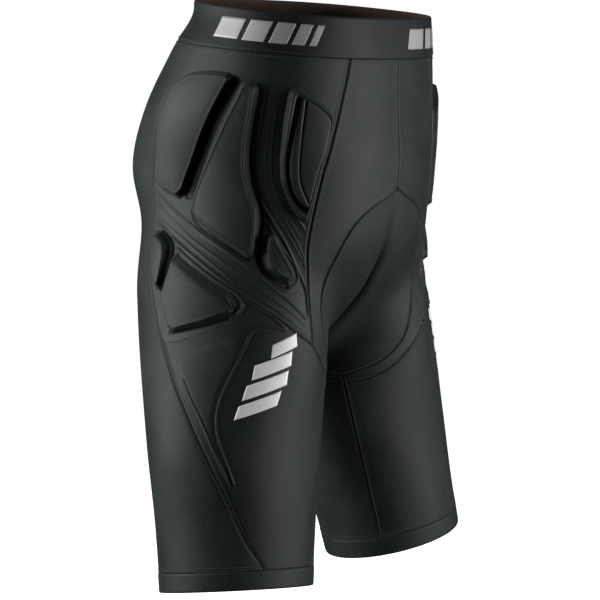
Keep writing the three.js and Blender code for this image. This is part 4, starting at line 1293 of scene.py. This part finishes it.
# ---------------------------------------------------------------- floor, light and camera
CAMERA_BEARING = math.radians(58.243)
CAMERA_DISTANCE = 2.3733
CAMERA_HEIGHT = -0.0215
CAMERA_PITCH = math.radians(6.242)
CAMERA_LENS = 148.266
CAMERA_SHIFT = -0.005083
FLOOR_DROP = 0.14


def stage_floor():
    """A pale floor that runs up into a pale wall all round."""
    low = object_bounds()[0][2] - FLOOR_DROP
    mesh = bpy.data.meshes.new("floor")
    radii = [0, 0.6, 1.5, 3, 6, 10, 12, 13, 13.5]
    heights = [0, 0, 0, 0, 0, 0, 0.4, 1.6, 4]
    points, faces = [], []
    spokes = 48
    for radius, rise in zip(radii, heights):
        for k in range(spokes):
            angle = 2 * math.pi * k / spokes
            points.append((radius * math.cos(angle), radius * math.sin(angle), low + rise))
    for r in range(len(radii) - 1):
        for k in range(spokes):
            nxt = (k + 1) % spokes
            faces.append((r * spokes + k, (r + 1) * spokes + k, (r + 1) * spokes + nxt, r * spokes + nxt))
    mesh.from_pydata(points, [], faces)
    mesh.polygons.foreach_set("use_smooth", np.ones(len(faces), bool))
    floor = bpy.data.objects.new("floor", mesh)
    bpy.context.scene.collection.objects.link(floor)
    material, tree, shader = new_material("pale_floor", (0.9, 0.9, 0.9), 0.9, 0.0)
    grain = node(tree, "ShaderNodeTexNoise", Scale=3.0, Detail=2.0)
    ramp = node(tree, "ShaderNodeValToRGB", [("Fac", grain.outputs["Fac"])])
    ramp.color_ramp.elements[0].color = (0.88, 0.88, 0.88, 1)
    ramp.color_ramp.elements[1].color = (0.92, 0.92, 0.92, 1)
    tree.links.new(ramp.outputs["Color"], shader.inputs["Base Color"])
    shader.inputs["Emission Color"].default_value = (1, 1, 1, 1)
    shader.inputs["Emission Strength"].default_value = 1.0
    mesh.materials.append(material)
    floor.visible_diffuse = False
    floor.visible_glossy = False


def area_light(name, bearing, distance_m, height, size, power, aim=(0, 0, -0.28)):
    """A soft box at a bearing from the camera's own, as seen from the object."""
    angle = CAMERA_BEARING + math.radians(bearing)
    light = bpy.data.lights.new(name, "AREA")
    light.shape = "RECTANGLE"
    light.size, light.size_y = size
    light.energy = power
    lamp = bpy.data.objects.new(name, light)
    lamp.location = (-math.sin(angle) * distance_m, -math.cos(angle) * distance_m, height)
    lamp.rotation_euler = (Vector(aim) - lamp.location).to_track_quat("-Z", "Y").to_euler()
    bpy.context.scene.collection.objects.link(lamp)


def studio():
    world = bpy.data.worlds.new("studio")
    world.use_nodes = True
    world.node_tree.nodes["Background"].inputs["Color"].default_value = (1, 1, 1, 1)
    world.node_tree.nodes["Background"].inputs["Strength"].default_value = 0.035
    bpy.context.scene.world = world
    area_light("left_box", 76, 1.5, 0.05, (0.9, 0.9), 48, aim=(0, 0, -0.12))
    area_light("right_box", -84, 1.6, -0.35, (0.9, 1.1), 44, aim=(0, 0, -0.28))
    area_light("top_box", 0, 0.6, 1.6, (1.2, 1.2), 2)
    bpy.context.scene.view_settings.view_transform = "Standard"


def photo_camera():
    camera = bpy.data.cameras.new("camera")
    camera.sensor_width = 36
    camera.lens = CAMERA_LENS
    camera.shift_x = CAMERA_SHIFT
    camera.clip_end = 60
    viewer = bpy.data.objects.new("camera", camera)
    viewer.location = (-math.sin(CAMERA_BEARING) * CAMERA_DISTANCE,
                       -math.cos(CAMERA_BEARING) * CAMERA_DISTANCE, CAMERA_HEIGHT)
    ahead = Vector((math.sin(CAMERA_BEARING) * math.cos(CAMERA_PITCH),
                    math.cos(CAMERA_BEARING) * math.cos(CAMERA_PITCH), -math.sin(CAMERA_PITCH)))
    viewer.rotation_euler = ahead.to_track_quat("-Z", "Y").to_euler()
    bpy.context.scene.collection.objects.link(viewer)
    bpy.context.scene.camera = viewer


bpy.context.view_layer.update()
stage_floor()
studio()
photo_camera()
